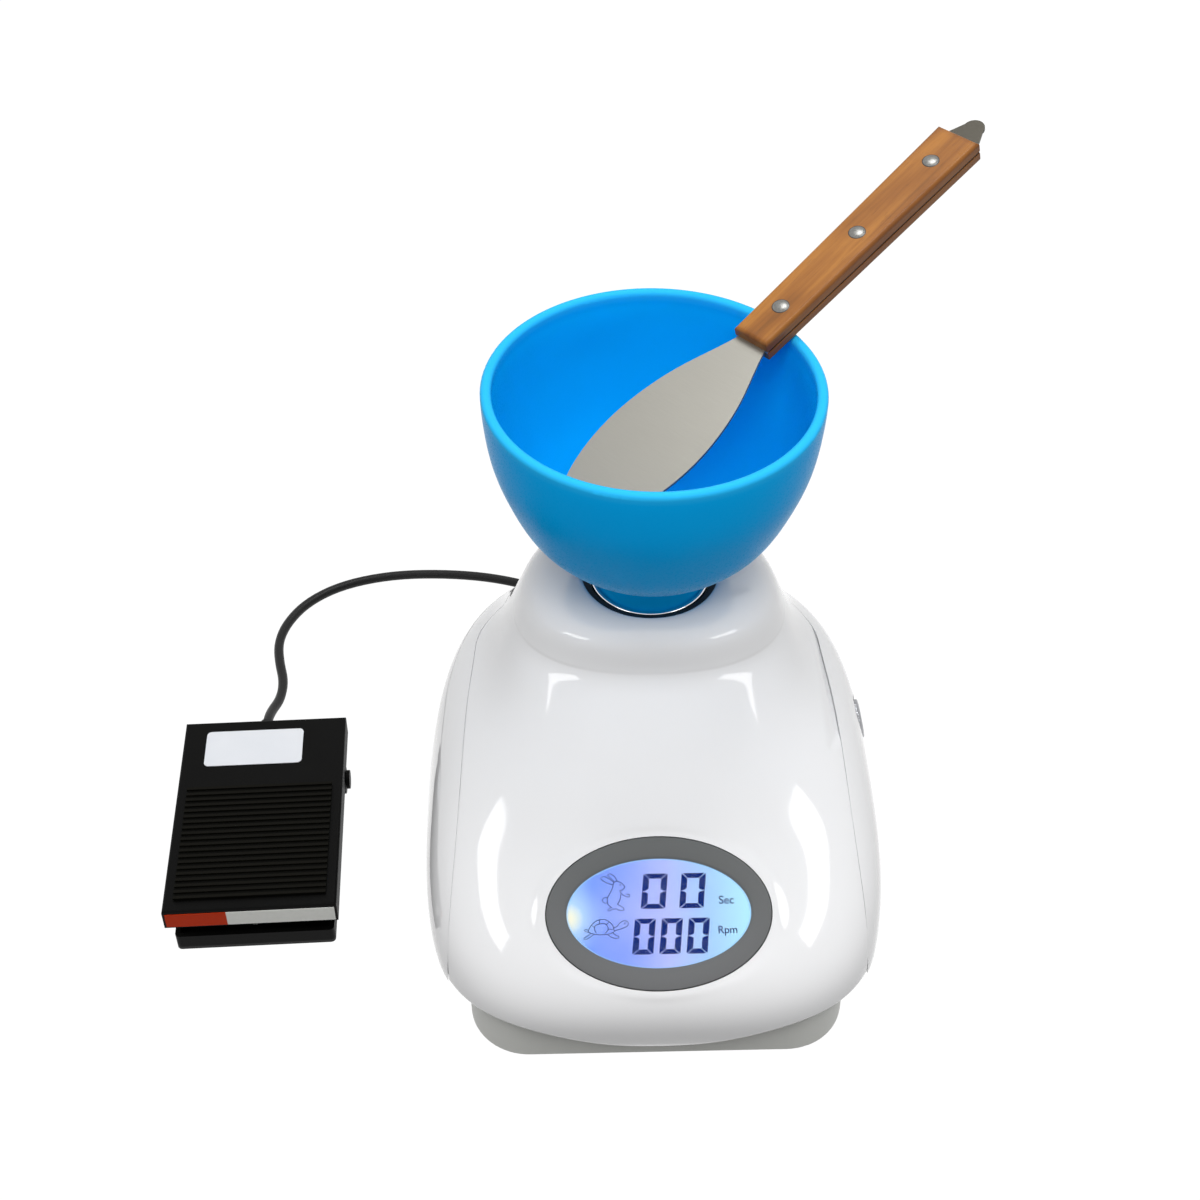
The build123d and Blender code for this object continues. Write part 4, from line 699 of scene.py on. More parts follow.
def circuit(name):
    """Green solder mask with the ghost of tracks under it."""
    paint = Paint(name)
    inputs = {"Vector": paint.place, "Scale": 260.0}
    inputs |= {"Mortar Size": 0.05, "Brick Width": 0.9, "Row Height": 0.32}
    bricks = paint.node("ShaderNodeTexBrick", {"offset": 0.37}, inputs, 1)
    return paint.finish(
        base=paint.mix(bricks, srgb(16, 84, 48), srgb(40, 122, 70)),
        rough=0.28,
        normal=paint.bump(bricks, 0.00004, 0.5),
        coat=0.4,
    )


# %% Finishes for the inner and small solids
STEEL = metal("bright_steel", (176, 176, 174), (212, 212, 210), 0.24)
ZINC = metal("zinc_plate", (150, 153, 158), (196, 200, 206), 0.34, (700.0, 700.0, 700.0))
CAST = metal("cast_alloy", (140, 141, 142), (176, 177, 178), 0.48, (380.0, 380.0, 380.0))
CHROME = metal("chrome", (214, 216, 220), (238, 240, 244), 0.1, (60.0, 60.0, 900.0))
TRAY = moulded("tray_grey", (212, 213, 208), (219, 220, 215), 0.42, texture=1100.0)
RUBBER = moulded("black_rubber", (16, 16, 16), (26, 26, 26), 0.62, texture=900.0, specular=0.3)
BLACK = moulded("black_plastic", (14, 14, 15), (24, 24, 26), 0.34)
NYLON = moulded("pale_nylon", (208, 204, 190), (224, 221, 208), 0.4)
BRASS = metal("brass", (176, 142, 74), (208, 176, 104), 0.28)
TAPE = moulded("winding_tape", (206, 164, 52), (226, 186, 70), 0.38, texture=500.0)
WHITE = moulded("white_diffuser", (226, 228, 230), (240, 241, 243), 0.5)
BOARD = circuit("circuit_board")

dress(TRAY, "base_tray")
dress(RUBBER, "nonslip_ring", "neck_seal", "drive_belt", "pedal_sole")
dress(ZINC, "tray_screws", "housing_screws", "motor_screws", "board_screws", "drive_motor", "motor_bracket")
dress(CAST, "bearing_housing", "transformer_core")
dress(STEEL, "upper_bearing", "lower_bearing", "spindle_shaft", "motor_shaft", "knob_shaft")
dress(CHROME, "bowl_seat")
dress(NYLON, "spindle_pulley", "board_standoffs", "switch_plunger")
dress(BLACK, "motor_pulley", "speed_encoder", "mains_inlet", "fuse_drawer", "switch_frame", "foot_socket")
dress(BLACK, "board_parts", "micro_switch", "power_rocker", "cable_plug", "bowl_core")
dress(BRASS, "mains_fuse")
dress(TAPE, "transformer_winding")
dress(WHITE, "display_backlight")
dress(BOARD, "power_board", "control_board", "display_board")
print("materials so far:", len(bpy.data.materials))

# %% [markdown]
# ## Bowl
# Flexible mixing bowls are a bright blue rubber with a smooth skin. The colour is deep where light has to
# cross the wall twice. The rim is painted a lighter blue, as painted light for the light that scatters out of
# it.


# %% Blue rubber
def bowl_rubber():
    paint = Paint("blue_rubber")
    height = paint.along((0.0, 0.0, 1.0))
    # painted light: a lighter blue on the rim, for the light that scatters out there
    rim = paint.span(height, 0.2145, 0.2185)
    cloud = paint.noise(25.0, 2.0)
    skin = paint.noise(1300.0, 2.0)
    body = paint.mix(cloud, srgb(3, 168, 242), srgb(4, 176, 249))
    return paint.finish(
        base=paint.mix(rim, body, srgb(48, 190, 250)),
        rough=0.24 + skin * 0.08,
        normal=paint.bump(skin, 0.00001, 0.1),
        specular=0.02,
    )


dress(bowl_rubber(), "mixing_bowl")
print("dressed: mixing_bowl")

# %% [markdown]
# ## Spatula
# The handle's grain runs with the handle, so the material first turns the coordinates to run along,
# across and through the wood. The blade is cross-ground steel, so its scratches run the other way.

# %% Wood
AZIMUTH = math.radians(43.3)
RISE = math.radians(17.2)
ALONG = (math.cos(AZIMUTH) * math.cos(RISE), math.sin(AZIMUTH) * math.cos(RISE), math.sin(RISE))
ACROSS = (math.sin(AZIMUTH), -math.cos(AZIMUTH), 0.0)
OUT = (-math.cos(AZIMUTH) * math.sin(RISE), -math.sin(AZIMUTH) * math.sin(RISE), math.cos(RISE))
HANDLE_START = (0.0366, 0.0224, 0.2197)


def wood():
    paint = Paint("handle_wood")
    along = paint.along(ALONG, HANDLE_START)
    across = paint.along(ACROSS, HANDLE_START)
    out = paint.along(OUT, HANDLE_START)

    def streaks(length, width, detail):
        """Noise drawn out along the handle; length and width are in features per metre."""
        parts = {"X": along * length, "Y": across * width, "Z": out * width}
        return paint.noise(1.0, detail, paint.node("ShaderNodeCombineXYZ", {}, parts))

    fibre = streaks(90.0, 2600.0, 3.0)
    bands = streaks(14.0, 330.0, 4.0)
    figure = streaks(30.0, 70.0, 2.0)
    pores = paint.span(streaks(160.0, 3400.0, 2.0), 0.60, 0.72)
    warm = paint.ramp(
        bands * 0.6 + figure * 0.4,
        (0.30, srgb(102, 60, 20)),
        (0.45, srgb(140, 86, 31)),
        (0.62, srgb(168, 110, 44)),
        (0.80, srgb(124, 71, 21)),
    )
    stained = paint.mix(pores * 0.45, warm, srgb(78, 42, 22))
    toned = paint.mix(fibre * 0.18, stained, srgb(188, 128, 64))
    end = paint.span(along, 0.118, 0.1212) + (1 - paint.span(along, 0.0, 0.003))
    worn = paint.mix(end * 0.4, toned, srgb(104, 56, 32))
    # painted shade: a band along one long edge of the handle is painted darker
    shaded_edge = paint.span(across - 0.0155 * along, 0.0052, 0.0080)
    return paint.finish(
        base=paint.mix(shaded_edge * 0.55, worn, srgb(92, 46, 16)),
        rough=0.36 + fibre * 0.16,
        normal=paint.bump(fibre * 0.7 - pores * 0.5, 0.00006, 0.5),
        specular=0.25,
        coat=0.06,
        coat_rough=0.25,
    )


# %% Blade
def blade_steel():
    """Cross-ground steel: fine scratches across the blade, and a soft bloom along it."""
    paint = Paint("blade_steel")
    along = paint.along(ALONG, HANDLE_START)
    across = paint.along(ACROSS, HANDLE_START)
    drawn = paint.node("ShaderNodeCombineXYZ", {}, {"X": along * 3200.0, "Y": across * 90.0})
    marks = paint.noise(1.0, 3.0, drawn)
    bloom = paint.noise(22.0, 2.0)
    ground = paint.mix(marks * 0.5 + bloom * 0.5, srgb(146, 144, 137), srgb(162, 160, 152))
    beyond = paint.span(along, 0.1205, 0.1215)
    tang = paint.span(along, 0.0, 0.001) * (1 - beyond)
    edged = paint.mix(tang * 0.9, ground, srgb(44, 32, 22))
    return paint.finish(
        base=paint.mix(beyond, edged, srgb(74, 71, 64)),
        rough=0.34 + marks * 0.1,
        normal=paint.bump(marks, 0.00001, 0.3),
        metal=0.85,
    )


dress(wood(), "scale_front", "scale_back")
dress(blade_steel(), "spatula_blade")
print("handle starts", round(HANDLE_START[2] / MM, 1), "mm above the floor")


# %% Turned shapes
def lathe(profile, turns):
    """A surface of revolution round Z, from (radius, height) pairs in millimetres."""
    grid = bmesh.new()
    rings = []
    for radius, height in profile:
        if radius == 0:
            rings.append([grid.verts.new((0, 0, height * MM))])
            continue
        spots = [2 * math.pi * k / turns for k in range(turns)]
        circle = [Vector((radius * math.cos(a), radius * math.sin(a), height)) * MM for a in spots]
        rings.append([grid.verts.new(spot) for spot in circle])
    return bridge(grid, rings, turns)


def frame_of(across, along, out, origin):
    """A matrix whose X, Y and Z are the three directions, at the origin."""
    turned = Matrix((across, along, out)).transposed().to_4x4()
    turned.translation = Vector(origin)
    return turned


def to_mesh(grid, name, matrix=None, sharp=35):
    """Finishes a bmesh: turned into place, smooth with crisp edges."""
    if matrix is not None:
        grid.transform(matrix)
    bmesh.ops.recalc_face_normals(grid, faces=grid.faces)
    mesh = bpy.data.meshes.new(name)
    grid.to_mesh(mesh)
    grid.free()
    mesh.shade_smooth()
    mesh.set_sharp_from_angle(angle=math.radians(sharp))
    return mesh


# %% [markdown]
# ## Rivets and knob
# A riveted head is a low dome, with a dark line painted round it as painted shade where it meets the wood.
# The knob is a chrome dial with a hollow face and a fine grip round its edge. Both are turned shapes, so a
# profile spun round an axis makes them.


# %% Domed rivets
RIVET_PLACES = (17.0, 60.5, 104.0)  # along the handle, mm
WOOD_FACE = 4.65  # from the middle of the blade to the wood's face
DOME = ((0, 0.72), (1.1, 0.68), (2.0, 0.52), (2.65, 0.3), (3.0, 0.1), (3.3, 0.04), (3.45, -0.25), (3.5, -0.9))
up_hand = Vector(OUT).cross(Vector(ALONG))


def join_grids(grids):
    """One bmesh from several."""
    whole = bmesh.new()
    for grid in grids:
        part = bpy.data.meshes.new("part")
        grid.to_mesh(part)
        grid.free()
        whole.from_mesh(part)
        bpy.data.meshes.remove(part)
    return whole


def rivet_steel():
    paint = Paint("rivet_steel")
    along = paint.along(ALONG, HANDLE_START)
    across = paint.along(ACROSS, HANDLE_START)
    nearest = None
    for place in RIVET_PLACES:
        shift = along - place * MM
        gap = (shift * shift + across * across) ** 0.5
        nearest = gap if nearest is None else gap.join("MINIMUM", nearest, gap)
    scuffs = paint.noise(1400.0, 3.0)
    face = paint.mix(scuffs, srgb(104, 104, 102), srgb(154, 153, 149))
    # painted shade: a dark, non-metal ring round each dome, where it meets the wood
    rivet_ring_shade = paint.span(nearest, 0.0029, 0.00305)
    return paint.finish(
        base=paint.mix(rivet_ring_shade, face, srgb(34, 28, 24)),
        rough=0.26 + scuffs * 0.12,
        normal=paint.bump(scuffs, 0.00002, 0.5),
        metal=1 - rivet_ring_shade,
    )


domes = []
for place in RIVET_PLACES:
    for side in (1, -1):
        dome = lathe(DOME, 40)
        out = side * Vector(OUT)
        spot = Vector(HANDLE_START) + MM * (place * Vector(ALONG) + WOOD_FACE * out)
        dome.transform(frame_of(ALONG, side * up_hand, out, spot))
        domes.append(dome)
add_piece("rivet_domes", to_mesh(join_grids(domes), "rivet_domes"), rivet_steel(), "spatula", "handle_rivets")
print("rivet domes:", len(domes))

# %% Chrome dial
GRIPS, GRIP_DEPTH = 32, 0.02  # waves round the dial, and their depth as a share of its radius
KNOB_AT = (0.0862, -0.015, 0.060)
TILT = math.radians(14.0)
KNOB_OUT = (math.cos(TILT), 0.0, math.sin(TILT))
KNOB_UP = (-math.sin(TILT), 0.0, math.cos(TILT))
DIAL = ((3.2, -5.0), (7.4, -5.0), (7.9, -4.7), (8.0, -4.2), (8.0, -0.4), (7.9, 0.1), (7.5, 0.5), (6.9, 0.6))
DIAL += ((6.4, 0.4), (5.8, -0.1), (4.6, -0.6), (3.0, -0.9), (1.2, -1.0), (0, -1.0))


def dial_chrome():
    paint = Paint("dial_chrome")
    up = paint.along(KNOB_UP, KNOB_AT)
    level = paint.along((0.0, 1.0, 0.0), KNOB_AT)
    mark = paint.span(up, 0.0036, 0.0038) * (1 - paint.span(up, 0.0064, 0.0066))
    mark = mark * (1 - paint.span((level * level) ** 0.5, 0.0005, 0.0006))
    haze = paint.noise(400.0, 2.0)
    chrome = paint.mix(haze, srgb(142, 143, 146), srgb(170, 171, 175))
    base = paint.mix(mark, chrome, srgb(24, 24, 26))
    return paint.finish(base=base, rough=0.14 + haze * 0.08, metal=1 - mark)


dial = lathe(DIAL, 192)
for vertex in dial.verts:
    radius = math.hypot(vertex.co.x, vertex.co.y) / MM
    if radius > 7.6 and vertex.co.z > -0.0048:
        grip = 1 - GRIP_DEPTH * (0.5 + 0.5 * math.cos(GRIPS * math.atan2(vertex.co.y, vertex.co.x)))
        vertex.co.x *= grip
        vertex.co.y *= grip
dial_mesh = to_mesh(dial, "knob_dial", frame_of((0.0, 1.0, 0.0), KNOB_UP, KNOB_OUT, KNOB_AT), 60)
add_piece("knob_dial", dial_mesh, dial_chrome(), "knob", "speed_knob")
print("dial faces:", len(dial_mesh.polygons))

# %% [markdown]
# ## Display
# The glass glows by itself, bluest at the left where the lamps sit. The digits and the two speed
# pictures lie on the glass as dark shapes. A hare and a tortoise are the usual signs for fast and slow;
# these are plain outlines drawn for this lesson.

# %% Places on the glass, and bodies of ellipses
DISPLAY_AT = tuple(float(v) * MM for v in DISPLAY)
UP = tuple(float(v) for v in DISPLAY_UP)
FACE = tuple(float(v) for v in DISPLAY_OUT)


def on_glass(across, up, out=-1.15):
    """A place in metres, from millimetres across, up and out; without the last, on the lit pane."""
    spot = DISPLAY + across * np.array((1.0, 0.0, 0.0)) + up * DISPLAY_UP + out * DISPLAY_OUT
    return tuple(float(v) * MM for v in spot)


PANE = (34.4, 20.2)  # half width and half height of the lit pane, mm


OVAL_TURNS = 160


def oval(name, profile, closed=False):
    """A body of ellipses in the display's plane, from (half width, half height, out) in millimetres."""
    grid = bmesh.new()
    rings = []
    for wide, high, out in profile:
        spots = [2 * math.pi * k / OVAL_TURNS for k in range(OVAL_TURNS if wide else 1)]
        rings.append([grid.verts.new(on_glass(wide * math.cos(a), high * math.sin(a), out)) for a in spots])
    bridge(grid, rings + rings[:1] if closed else rings, OVAL_TURNS)
    return to_mesh(grid, name, None, 30)


# %% Glowing glass
def lit_glass():
    paint = Paint("lit_glass")

    def nearness(across, up, reach):
        """1 at a place on the glass, 0 from reach millimetres away."""
        inputs = {0: paint.place, 1: on_glass(across, up)}
        gap = paint.node("ShaderNodeVectorMath", {"operation": "DISTANCE"}, inputs, 1)
        return 1 - paint.span(gap, 0.0, reach * MM)

    across = paint.span(paint.along((1.0, 0.0, 0.0)), -0.034, 0.034)
    wash = paint.ramp(
        across,
        (0.0, srgb(150, 196, 255)),
        (0.14, srgb(118, 156, 255)),
        (0.34, srgb(146, 170, 255)),
        (0.55, srgb(176, 190, 255)),
        (0.78, srgb(166, 208, 255)),
        (1.0, srgb(180, 240, 255)),
    )
    veil = paint.mix(nearness(-6, -6, 24) * 0.4, wash, srgb(196, 200, 255))
    low = paint.mix(nearness(-14, -15, 17) * 0.55, veil, srgb(104, 142, 250))
    high = paint.mix(nearness(-17, 16, 14) * 0.45, low, srgb(120, 152, 255))
    bloom = paint.mix(nearness(-33, -1, 14) ** 1.4, high, srgb(205, 240, 255))
    spot = paint.mix(nearness(-34, -1.5, 6) ** 0.8, bloom, srgb(255, 250, 214))
    sideways = paint.along((1.0, 0.0, 0.0)) * (1 / (PANE[0] * MM))
    upwards = paint.along(UP, DISPLAY_AT) * (1 / (PANE[1] * MM))
    edge = paint.span((sideways * sideways + upwards * upwards) ** 0.5, 0.972, 0.992)
    spot = paint.mix(edge * 0.7, spot, srgb(150, 205, 255))
    return paint.finish(base=(0.01, 0.01, 0.02), glow=spot, glow_strength=1.0, rough=0.4, specular=0.0)


# %% Bezel and window
def bezel_grey():
    paint = Paint("bezel_grey")
    fine = paint.noise(1800.0, 2.0)
    # painted shade: the bezel is painted darker towards its top
    top_shade = paint.span(paint.along(UP, DISPLAY_AT), -0.028, 0.028)
    return paint.finish(
        base=paint.mix(top_shade, srgb(108, 109, 110), srgb(98, 100, 100)),
        rough=0.42 + fine * 0.08,
        normal=paint.bump(fine, 0.00003, 0.4),
        specular=0.2,
    )


def clear_window():
    paint = Paint("clear_window")
    haze = paint.noise(60.0, 2.0)
    return paint.finish(base=(1.0, 1.0, 1.0), rough=0.01 + haze * 0.02, clear=1.0, bend=1.12, specular=0.2)


RING = ((*BEZEL, -4.6), (*BEZEL, 0.1), (41.8, 28.1, 0.45), (41.3, 27.6, 0.6), (35.3, 21.1, 0.6))
RING += ((34.75, 20.55, 0.4), (*PANE, 0.0), (*PANE, -4.6))
add_piece("bezel_ring", oval("bezel_ring", RING, closed=True), bezel_grey(), "machine", "display_bezel")
wide, high = PANE[0] - 0.05, PANE[1] - 0.05
LAMP_PANE = ((0, 0, -1.2), (wide, high, -1.2), (wide, high, -3.6), (0, 0, -3.6))
add_piece("lit_pane", oval("lit_pane", LAMP_PANE), lit_glass(), "machine", "display_glass")
SHARES = (0, 0.25, 0.5, 0.7, 0.85, 0.95, 1.0)  # of the way from the cover's middle to its rim
COVER = [(share * wide, share * high, 0.25 - 0.3 * share**3) for share in SHARES]
COVER += [(wide, high, -1.0), (0, 0, -1.0)]
add_piece("clear_cover", oval("clear_cover", COVER), clear_window(), "machine", "display_window")
print("display pane", 2 * PANE[0], "by", 2 * PANE[1], "mm")

# %% Digits and words
INK = moulded("display_ink", (0, 21, 91), (4, 28, 100), 0.5, specular=0.0)


BAR, GAP, NIP = 2.3, 0.13, 0.35  # a segment's thickness, half of the gap between two, and its cut corner
SLANT = math.tan(math.radians(6))


def segments(width, height):
    """The six lit segments of a 0, as corner lists from the digit's lower left corner."""
    flat, half = 0.8 * BAR, height / 2
    top = [(NIP + GAP, height), (width - NIP - GAP, height)]
    top += [(width - BAR - GAP, height - flat), (BAR + GAP, height - flat)]
    side = [(0, height - NIP), (0, half + GAP), (0.45 * BAR, half + GAP)]
    side += [(BAR, half + GAP + 0.32 * BAR), (BAR, height - flat - GAP), (0.06 * BAR, height - 0.5 * NIP)]
    shapes = [top, side, [(width - x, y) for x, y in side]]
    return shapes + [[(x, height - y) for x, y in shape] for shape in shapes]


def flat_shapes(outlines, name):
    """Flat faces on the glass, from outlines in millimetres across and up."""
    grid = bmesh.new()
    for outline in outlines:
        face = grid.faces.new([grid.verts.new(on_glass(*corner)) for corner in outline])
        face.normal_update()
        if face.normal.dot(Vector(FACE)) < 0:
            face.normal_flip()
    mesh = bpy.data.meshes.new(name)
    grid.to_mesh(mesh)
    grid.free()
    return mesh


def zero(left, bottom, width, height):
    """A zero that leans to the right."""
    return [[(left + x + SLANT * y, bottom + y) for x, y in shape] for shape in segments(width, height)]


outlines = []
for k in range(2):
    outlines += zero(-6.7 + 14.3 * k, 1.7, 9.1, 13.0)
for k in range(3):
    outlines += zero(-10.3 + 10.05 * k, -15.0, 7.8, 13.1)
add_piece("display_digits", flat_shapes(outlines, "display_digits"), INK, "machine")
print("lit segments:", len(outlines))


CAP_SHARE = 0.69  # a capital's height as a share of the font's size


def lettering(word, across, up, cap):
    """A word on the glass, cap millimetres high."""
    text = bpy.data.curves.new(word, "FONT")
    text.body = word
    text.size = cap / CAP_SHARE * MM
    text.offset = 0.00003
    mesh = baked(text)
    mesh.transform(frame_of((1.0, 0.0, 0.0), UP, FACE, on_glass(across, up)))
    return add_piece("word_" + word.lower(), mesh, INK, "machine")


lettering("Sec", 22.4, 3.1, 2.9)
lettering("Rpm", 21.7, -7.8, 2.75)

# %% Speed pictures
# Strokes in millimetres from the lower left corner. A closed stroke repeats its start.
HARE = (
    ((5.4, 10.4), (3.6, 11.9), (1.6, 12.7), (0.6, 12.2), (1.6, 11.0), (3.6, 10.1), (5.0, 9.6)),
    ((5.6, 10.6), (4.4, 12.0), (3.2, 13.4), (4.6, 13.5), (5.9, 12.4), (6.5, 10.9)),
    ((5.0, 9.6), (5.4, 10.5), (6.5, 10.9), (7.8, 10.5), (8.8, 9.6), (9.3, 8.8), (8.7, 7.9), (7.4, 7.5)),
    ((7.4, 9.5), (7.7, 9.7), (7.7, 9.2), (7.4, 9.3)),
    ((5.0, 9.6), (4.8, 8.4), (4.0, 6.9), (3.1, 5.4), (2.7, 3.8), (3.2, 2.2), (4.4, 1.3)),
    ((7.4, 7.5), (7.9, 6.6), (9.2, 5.5), (10.8, 5.1), (11.1, 5.8), (9.8, 6.1)),
    ((7.6, 6.2), (7.7, 4.8), (7.2, 3.5), (6.4, 2.5)),
    ((2.8, 4.9), (1.6, 4.9), (0.9, 4.1), (1.4, 3.1), (2.6, 3.0)),
    (
        *((4.4, 1.3), (3.2, 0.8), (2.9, 0.2), (4.8, 0.6), (6.2, 0.7)),
        *((7.0, 0.2), (8.9, 0.6), (8.2, 1.4), (6.4, 2.5)),
    ),
)
TORTOISE = (
    ((2.2, 2.5), (3.1, 4.6), (5.2, 6.5), (7.9, 7.1), (10.3, 6.1), (11.7, 4.0), (11.9, 2.5)),
    ((2.2, 2.5), (4.4, 1.8), (7.1, 1.5), (9.8, 1.7), (11.9, 2.5)),
    ((5.2, 2.1), (4.6, 4.3), (6.5, 5.5), (9.0, 5.2), (9.6, 3.4), (8.4, 1.9)),
    ((4.6, 4.3), (3.5, 5.0)),
    ((6.5, 5.5), (6.4, 6.9)),
    ((9.0, 5.2), (10.1, 6.2)),
    ((9.6, 3.4), (11.8, 3.6)),
    (
        *((11.6, 4.1), (13.0, 4.5), (14.1, 5.8), (15.7, 6.5), (17.0, 5.9)),
        *((16.9, 4.7), (15.3, 3.9), (13.5, 3.3), (11.9, 2.8)),
    ),
    ((15.6, 5.6), (15.9, 5.7), (15.9, 5.3), (15.6, 5.4)),
    ((3.2, 2.1), (1.7, 1.0), (0.6, 0.2), (2.2, 0.3), (4.2, 1.7)),
    ((9.4, 1.6), (10.8, 0.6), (12.6, 0.1), (13.6, 0.6), (12.4, 1.3), (11.2, 2.2)),
    ((2.2, 2.5), (0.8, 3.3), (2.5, 3.3)),
)


PEN = 0.14  # radius of a stroke, mm


def line_drawing(name, strokes, left, bottom):
    """Thin smooth strokes on the glass."""
    drawing = bpy.data.curves.new(name, "CURVE")
    drawing.dimensions = "3D"
    drawing.bevel_depth = PEN * MM
    drawing.bevel_resolution = 1
    drawing.resolution_u = 6
    for stroke in strokes:
        line = drawing.splines.new("BEZIER")
        line.bezier_points.add(len(stroke) - 1)
        for knot, (x, y) in zip(line.bezier_points, stroke):
            knot.co = on_glass(left + x, bottom + y)
            knot.handle_left_type = knot.handle_right_type = "AUTO"
    return add_piece(name, baked(drawing), INK, "machine")


line_drawing("hare_sign", HARE, -21.8, 1.2)
line_drawing("tortoise_sign", TORTOISE, -28.6, -9.0)
print("strokes:", len(HARE) + len(TORTOISE))

# %% [markdown]
# ## Foot pedal
# The pedal is steel with black powder coat. Its rubber pad carries raised ribs, and the two stickers are
# blank: a white one at the back, and a strip on the lip that is orange at its left end.

# %% Pedal finishes
PEDAL_AT = (-0.161, -0.0285, 0.0)
TURN = math.radians(2.0)
PEDAL_X = (math.cos(TURN), math.sin(TURN), 0.0)
PEDAL_Y = (-math.sin(TURN), math.cos(TURN), 0.0)


def powder_coat():
    paint = Paint("powder_coat")
    orange_peel = paint.noise(1100.0, 3.0)
    dust = paint.noise(70.0, 4.0)
    return paint.finish(
        base=paint.mix(dust, srgb(2, 2, 2), srgb(8, 8, 7)),
        rough=0.4 + orange_peel * 0.16,
        normal=paint.bump(orange_peel, 0.00005, 0.45),
        specular=0.07,
    )


def pad_rubber():
    paint = Paint("pad_rubber")
    fine = paint.noise(1500.0, 3.0)
    crest = paint.span(paint.along((0.0, 0.0, 1.0)), 0.0266, 0.0275)
    return paint.finish(
        base=paint.mix(crest, srgb(2, 2, 1), srgb(14, 13, 9)),
        rough=0.55 + fine * 0.15,
        normal=paint.bump(fine, 0.00004, 0.4),
        specular=0.06,
    )


def strip_paint():
    paint = Paint("lip_strip_paint")
    orange = 1 - paint.span(paint.along(PEDAL_X, PEDAL_AT), -0.0094, -0.0091)
    speckle = paint.noise(600.0, 3.0)
    white = paint.mix(speckle, srgb(226, 227, 222), srgb(236, 237, 232))
    warm = paint.mix(speckle, srgb(180, 44, 6), srgb(192, 54, 12))
    return paint.finish(base=paint.mix(orange, white, warm), rough=0.4 + speckle * 0.1, specular=0.1)


dress(powder_coat(), "treadle", "pedal_base", "hinge_pin")
dress(pad_rubber(), "tread_pad")
dress(strip_paint(), "lip_strip")
dress(moulded("label_white", (219, 222, 227), (229, 231, 235), 0.38, 60.0, 900.0), "label_plate")
print("pedal turned by", round(math.degrees(TURN), 1), "degrees")

# %% [markdown]
# ## Return spring
# The spring stands under the treadle and pushes it up. A wire bent round a helix makes it, with end turns
# that lie flat. It gets shorter as the treadle goes down.


# %% Return spring
def from_pedal(across, along, up):
    """A place in metres, from millimetres in the pedal's own directions."""
    place = Vector(PEDAL_AT) + MM * (across * Vector(PEDAL_X) + along * Vector(PEDAL_Y))
    return (place.x, place.y, up * MM)


SPRING_RADIUS, WIRE = 6.0, 0.6  # of the helix, and of the wire, mm
SPRING_FOOT, SPRING_TOP = 3.7, 23.8  # heights above the floor, mm
SPRING_PLACE = -36.0  # along the pedal, mm
SPRING_TURNS, TURN_STEPS = 7.5, 28


def spring_mesh():
    strand = bpy.data.curves.new("pedal_spring_coil", "CURVE")
    strand.dimensions = "3D"
    strand.bevel_depth = WIRE * MM
    strand.bevel_resolution = 3
    strand.use_fill_caps = True
    line = strand.splines.new("POLY")
    count = int(SPRING_TURNS * TURN_STEPS)
    line.points.add(count)
    for k, knot in enumerate(line.points):
        turn = SPRING_TURNS * k / count
        soft_rise = float(step(turn, 0.4, SPRING_TURNS - 0.4))
        even_rise = min(1.0, max(0.0, (turn - 0.7) / (SPRING_TURNS - 1.4)))
        climb = 0.35 * soft_rise + 0.65 * even_rise
        height = SPRING_FOOT + WIRE + climb * (SPRING_TOP - SPRING_FOOT - 2 * WIRE)
        across, along = (SPRING_RADIUS * f(2 * math.pi * turn) for f in (math.cos, math.sin))
        knot.co = (*from_pedal(across, SPRING_PLACE + along, height), 1.0)
    mesh = baked(strand)
    mesh.shade_smooth()
    mesh.set_sharp_from_angle(angle=math.radians(50))
    return mesh


coil = add_piece("pedal_spring_coil", spring_mesh(), STEEL, "machine", "pedal_spring")
anchor = from_pedal(0.0, SPRING_PLACE, SPRING_FOOT)
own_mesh(coil)
print("spring faces:", len(coil.data.polygons))

# %% [markdown]
# ## The pedal's lead
# The lead is one spline: out of its boot, over the floor behind the machine, round its coil, and up to
# the plug in the back panel. The route lists the places that it passes, in metres.

# %% Route of the lead
COIL_MIDDLE = (12.0, 99.0, 9.5)  # mm
COIL_RADIUS, BUNDLE_RADIUS = 22.5, 7.1  # of the ring, and of the bundle of turns, mm
COIL_TURNS, COIL_STEPS = 7.75, 124


def coil_point(turned, phase):
    """A place in the coil: turned degrees round its ring, phase degrees round its bundle."""
    reach = COIL_RADIUS + BUNDLE_RADIUS * math.cos(math.radians(phase))
    x = COIL_MIDDLE[0] + reach * math.cos(math.radians(turned))
    y = COIL_MIDDLE[1] + reach * math.sin(math.radians(turned))
    return (x * MM, y * MM, (COIL_MIDDLE[2] + BUNDLE_RADIUS * math.sin(math.radians(phase))) * MM)


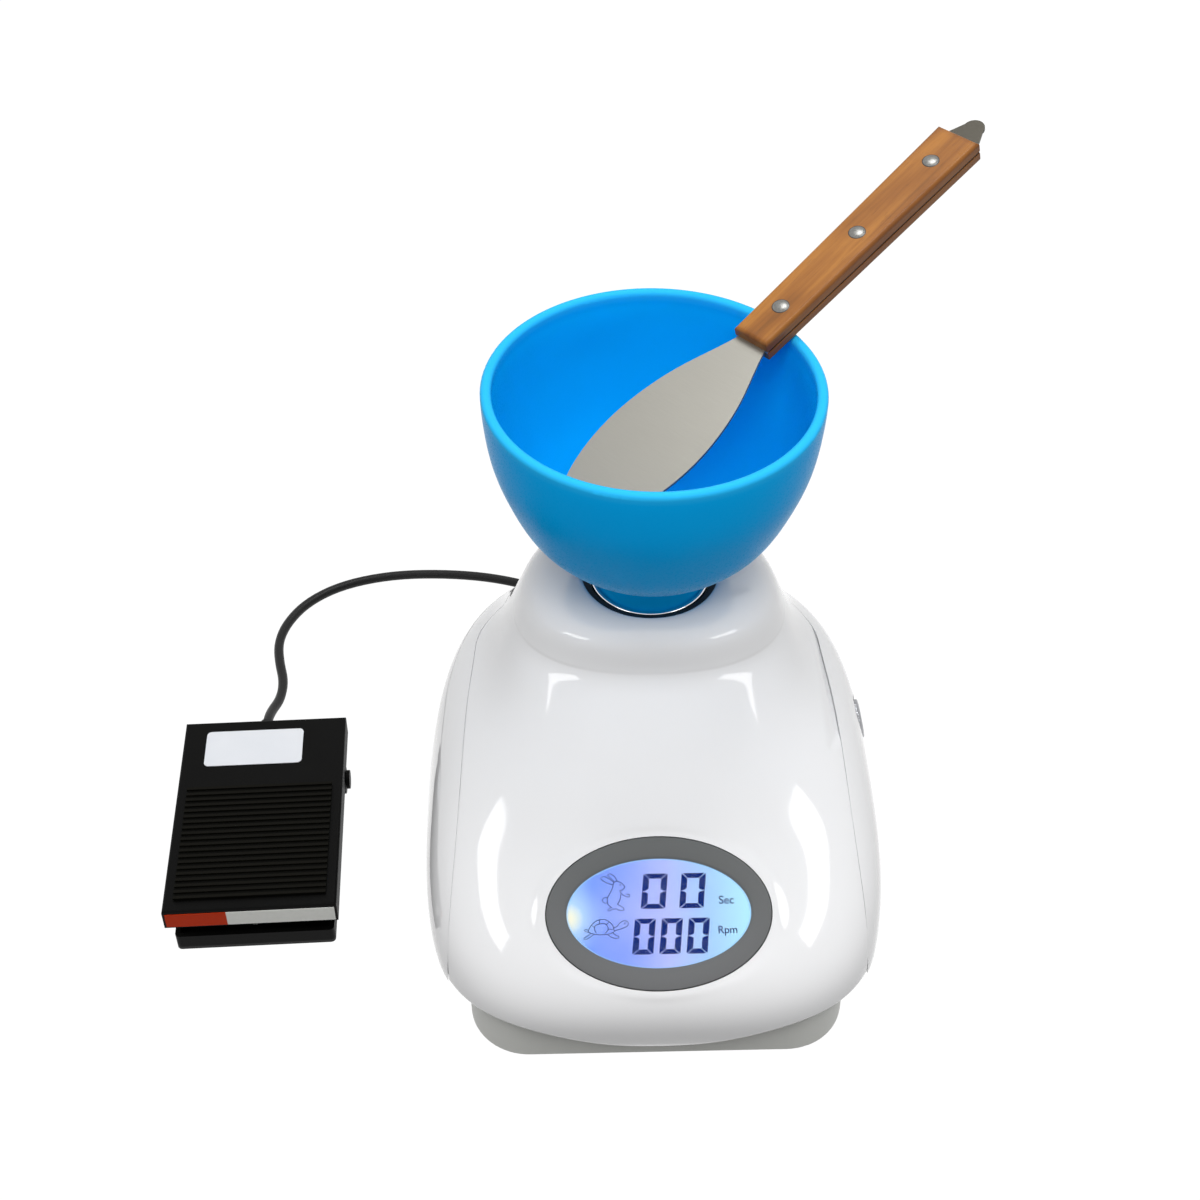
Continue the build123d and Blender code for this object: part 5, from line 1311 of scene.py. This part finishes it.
LEAD_EXIT = (-2.5, 57.5, 10.0)  # in the pedal's directions, mm
ON_FLOOR = 0.0023
route = [from_pedal(*LEAD_EXIT), from_pedal(-2.5, 64.5, 10.0)]
route += [
    (-0.1652, 0.0460, 0.0064),
    (-0.1626, 0.0565, 0.0030),
    (-0.1623, 0.0685, ON_FLOOR),
    (-0.1656, 0.0810, ON_FLOOR),
    (-0.1674, 0.0940, ON_FLOOR),
    (-0.1644, 0.1075, ON_FLOOR),
    (-0.1560, 0.1215, ON_FLOOR),
    (-0.1405, 0.1330, ON_FLOOR),
    (-0.1175, 0.1395, ON_FLOOR),
    (-0.0920, 0.1400, ON_FLOOR),
    (-0.0670, 0.1365, ON_FLOOR),
    (-0.0440, 0.1280, ON_FLOOR),
    (-0.0265, 0.1170, 0.0030),
    (-0.0176, 0.1075, 0.0040),
]
for share in np.arange(COIL_STEPS + 1) / COIL_STEPS:
    route.append(coil_point(180 + 360 * COIL_TURNS * share, -40 - 285 * share))
route += [
    (0.0005, 0.1276, 0.0160),
    (-0.0120, 0.1240, 0.0220),
    (-0.0220, 0.1165, 0.0300),
    (-0.0274, 0.1070, 0.0380),
    (-0.0280, 0.0983, 0.0410),
    (-0.0280, 0.0913, 0.0410),
]
runs = sum((Vector(b) - Vector(a)).length for a, b in zip(route, route[1:]))
print("lead:", len(route), "points, runs", round(runs, 3), "m")

# %% The lead
LEAD_RADIUS = 0.0022
lead_data = bpy.data.curves.new("pedal_lead", "CURVE")
lead_data.dimensions = "3D"
lead_data.resolution_u = 5
lead_data.bevel_depth = LEAD_RADIUS
lead_data.bevel_resolution = 3
spline = lead_data.splines.new("NURBS")
spline.points.add(len(route) - 1)
for knot, place in zip(spline.points, route):
    knot.co = (*place, 1.0)
spline.order_u = 3
spline.use_endpoint_u = True

CABLE = moulded("lead_cover", (12, 12, 12), (24, 24, 24), 0.42, 30.0, 2600.0, 0.0001, specular=0.25)
lead = add_piece("pedal_lead", lead_data, CABLE, "machine", "pedal_cable", "cable_coil")
print("lead:", round(2 * LEAD_RADIUS / MM, 1), "mm thick")

# %% Boot where the lead leaves the pedal
# The boot is ribbed and tapers to the lead, so that the lead bends over a length and not at an edge.
BOOT = [(4.6, 0.0), (4.6, 2.4), (4.2, 2.8)]
for k in range(4):
    start, wide = 3.2 + 2.6 * k, 4.3 - 0.35 * k
    BOOT += [(wide, start), (wide, start + 1.4), (wide - 0.5, start + 1.7), (wide - 0.5, start + 2.3)]
BOOT += [(2.7, 14.0), (2.35, 14.4)]
boot_turn = frame_of((0.0, 0.0, 1.0), PEDAL_X, PEDAL_Y, from_pedal(-2.5, 50.0, 10.0))
add_piece("cord_boot", to_mesh(lathe(BOOT, 48), "cord_boot", boot_turn), RUBBER, "machine", "cable_gland")
print("boot:", BOOT[-1][1], "mm long")
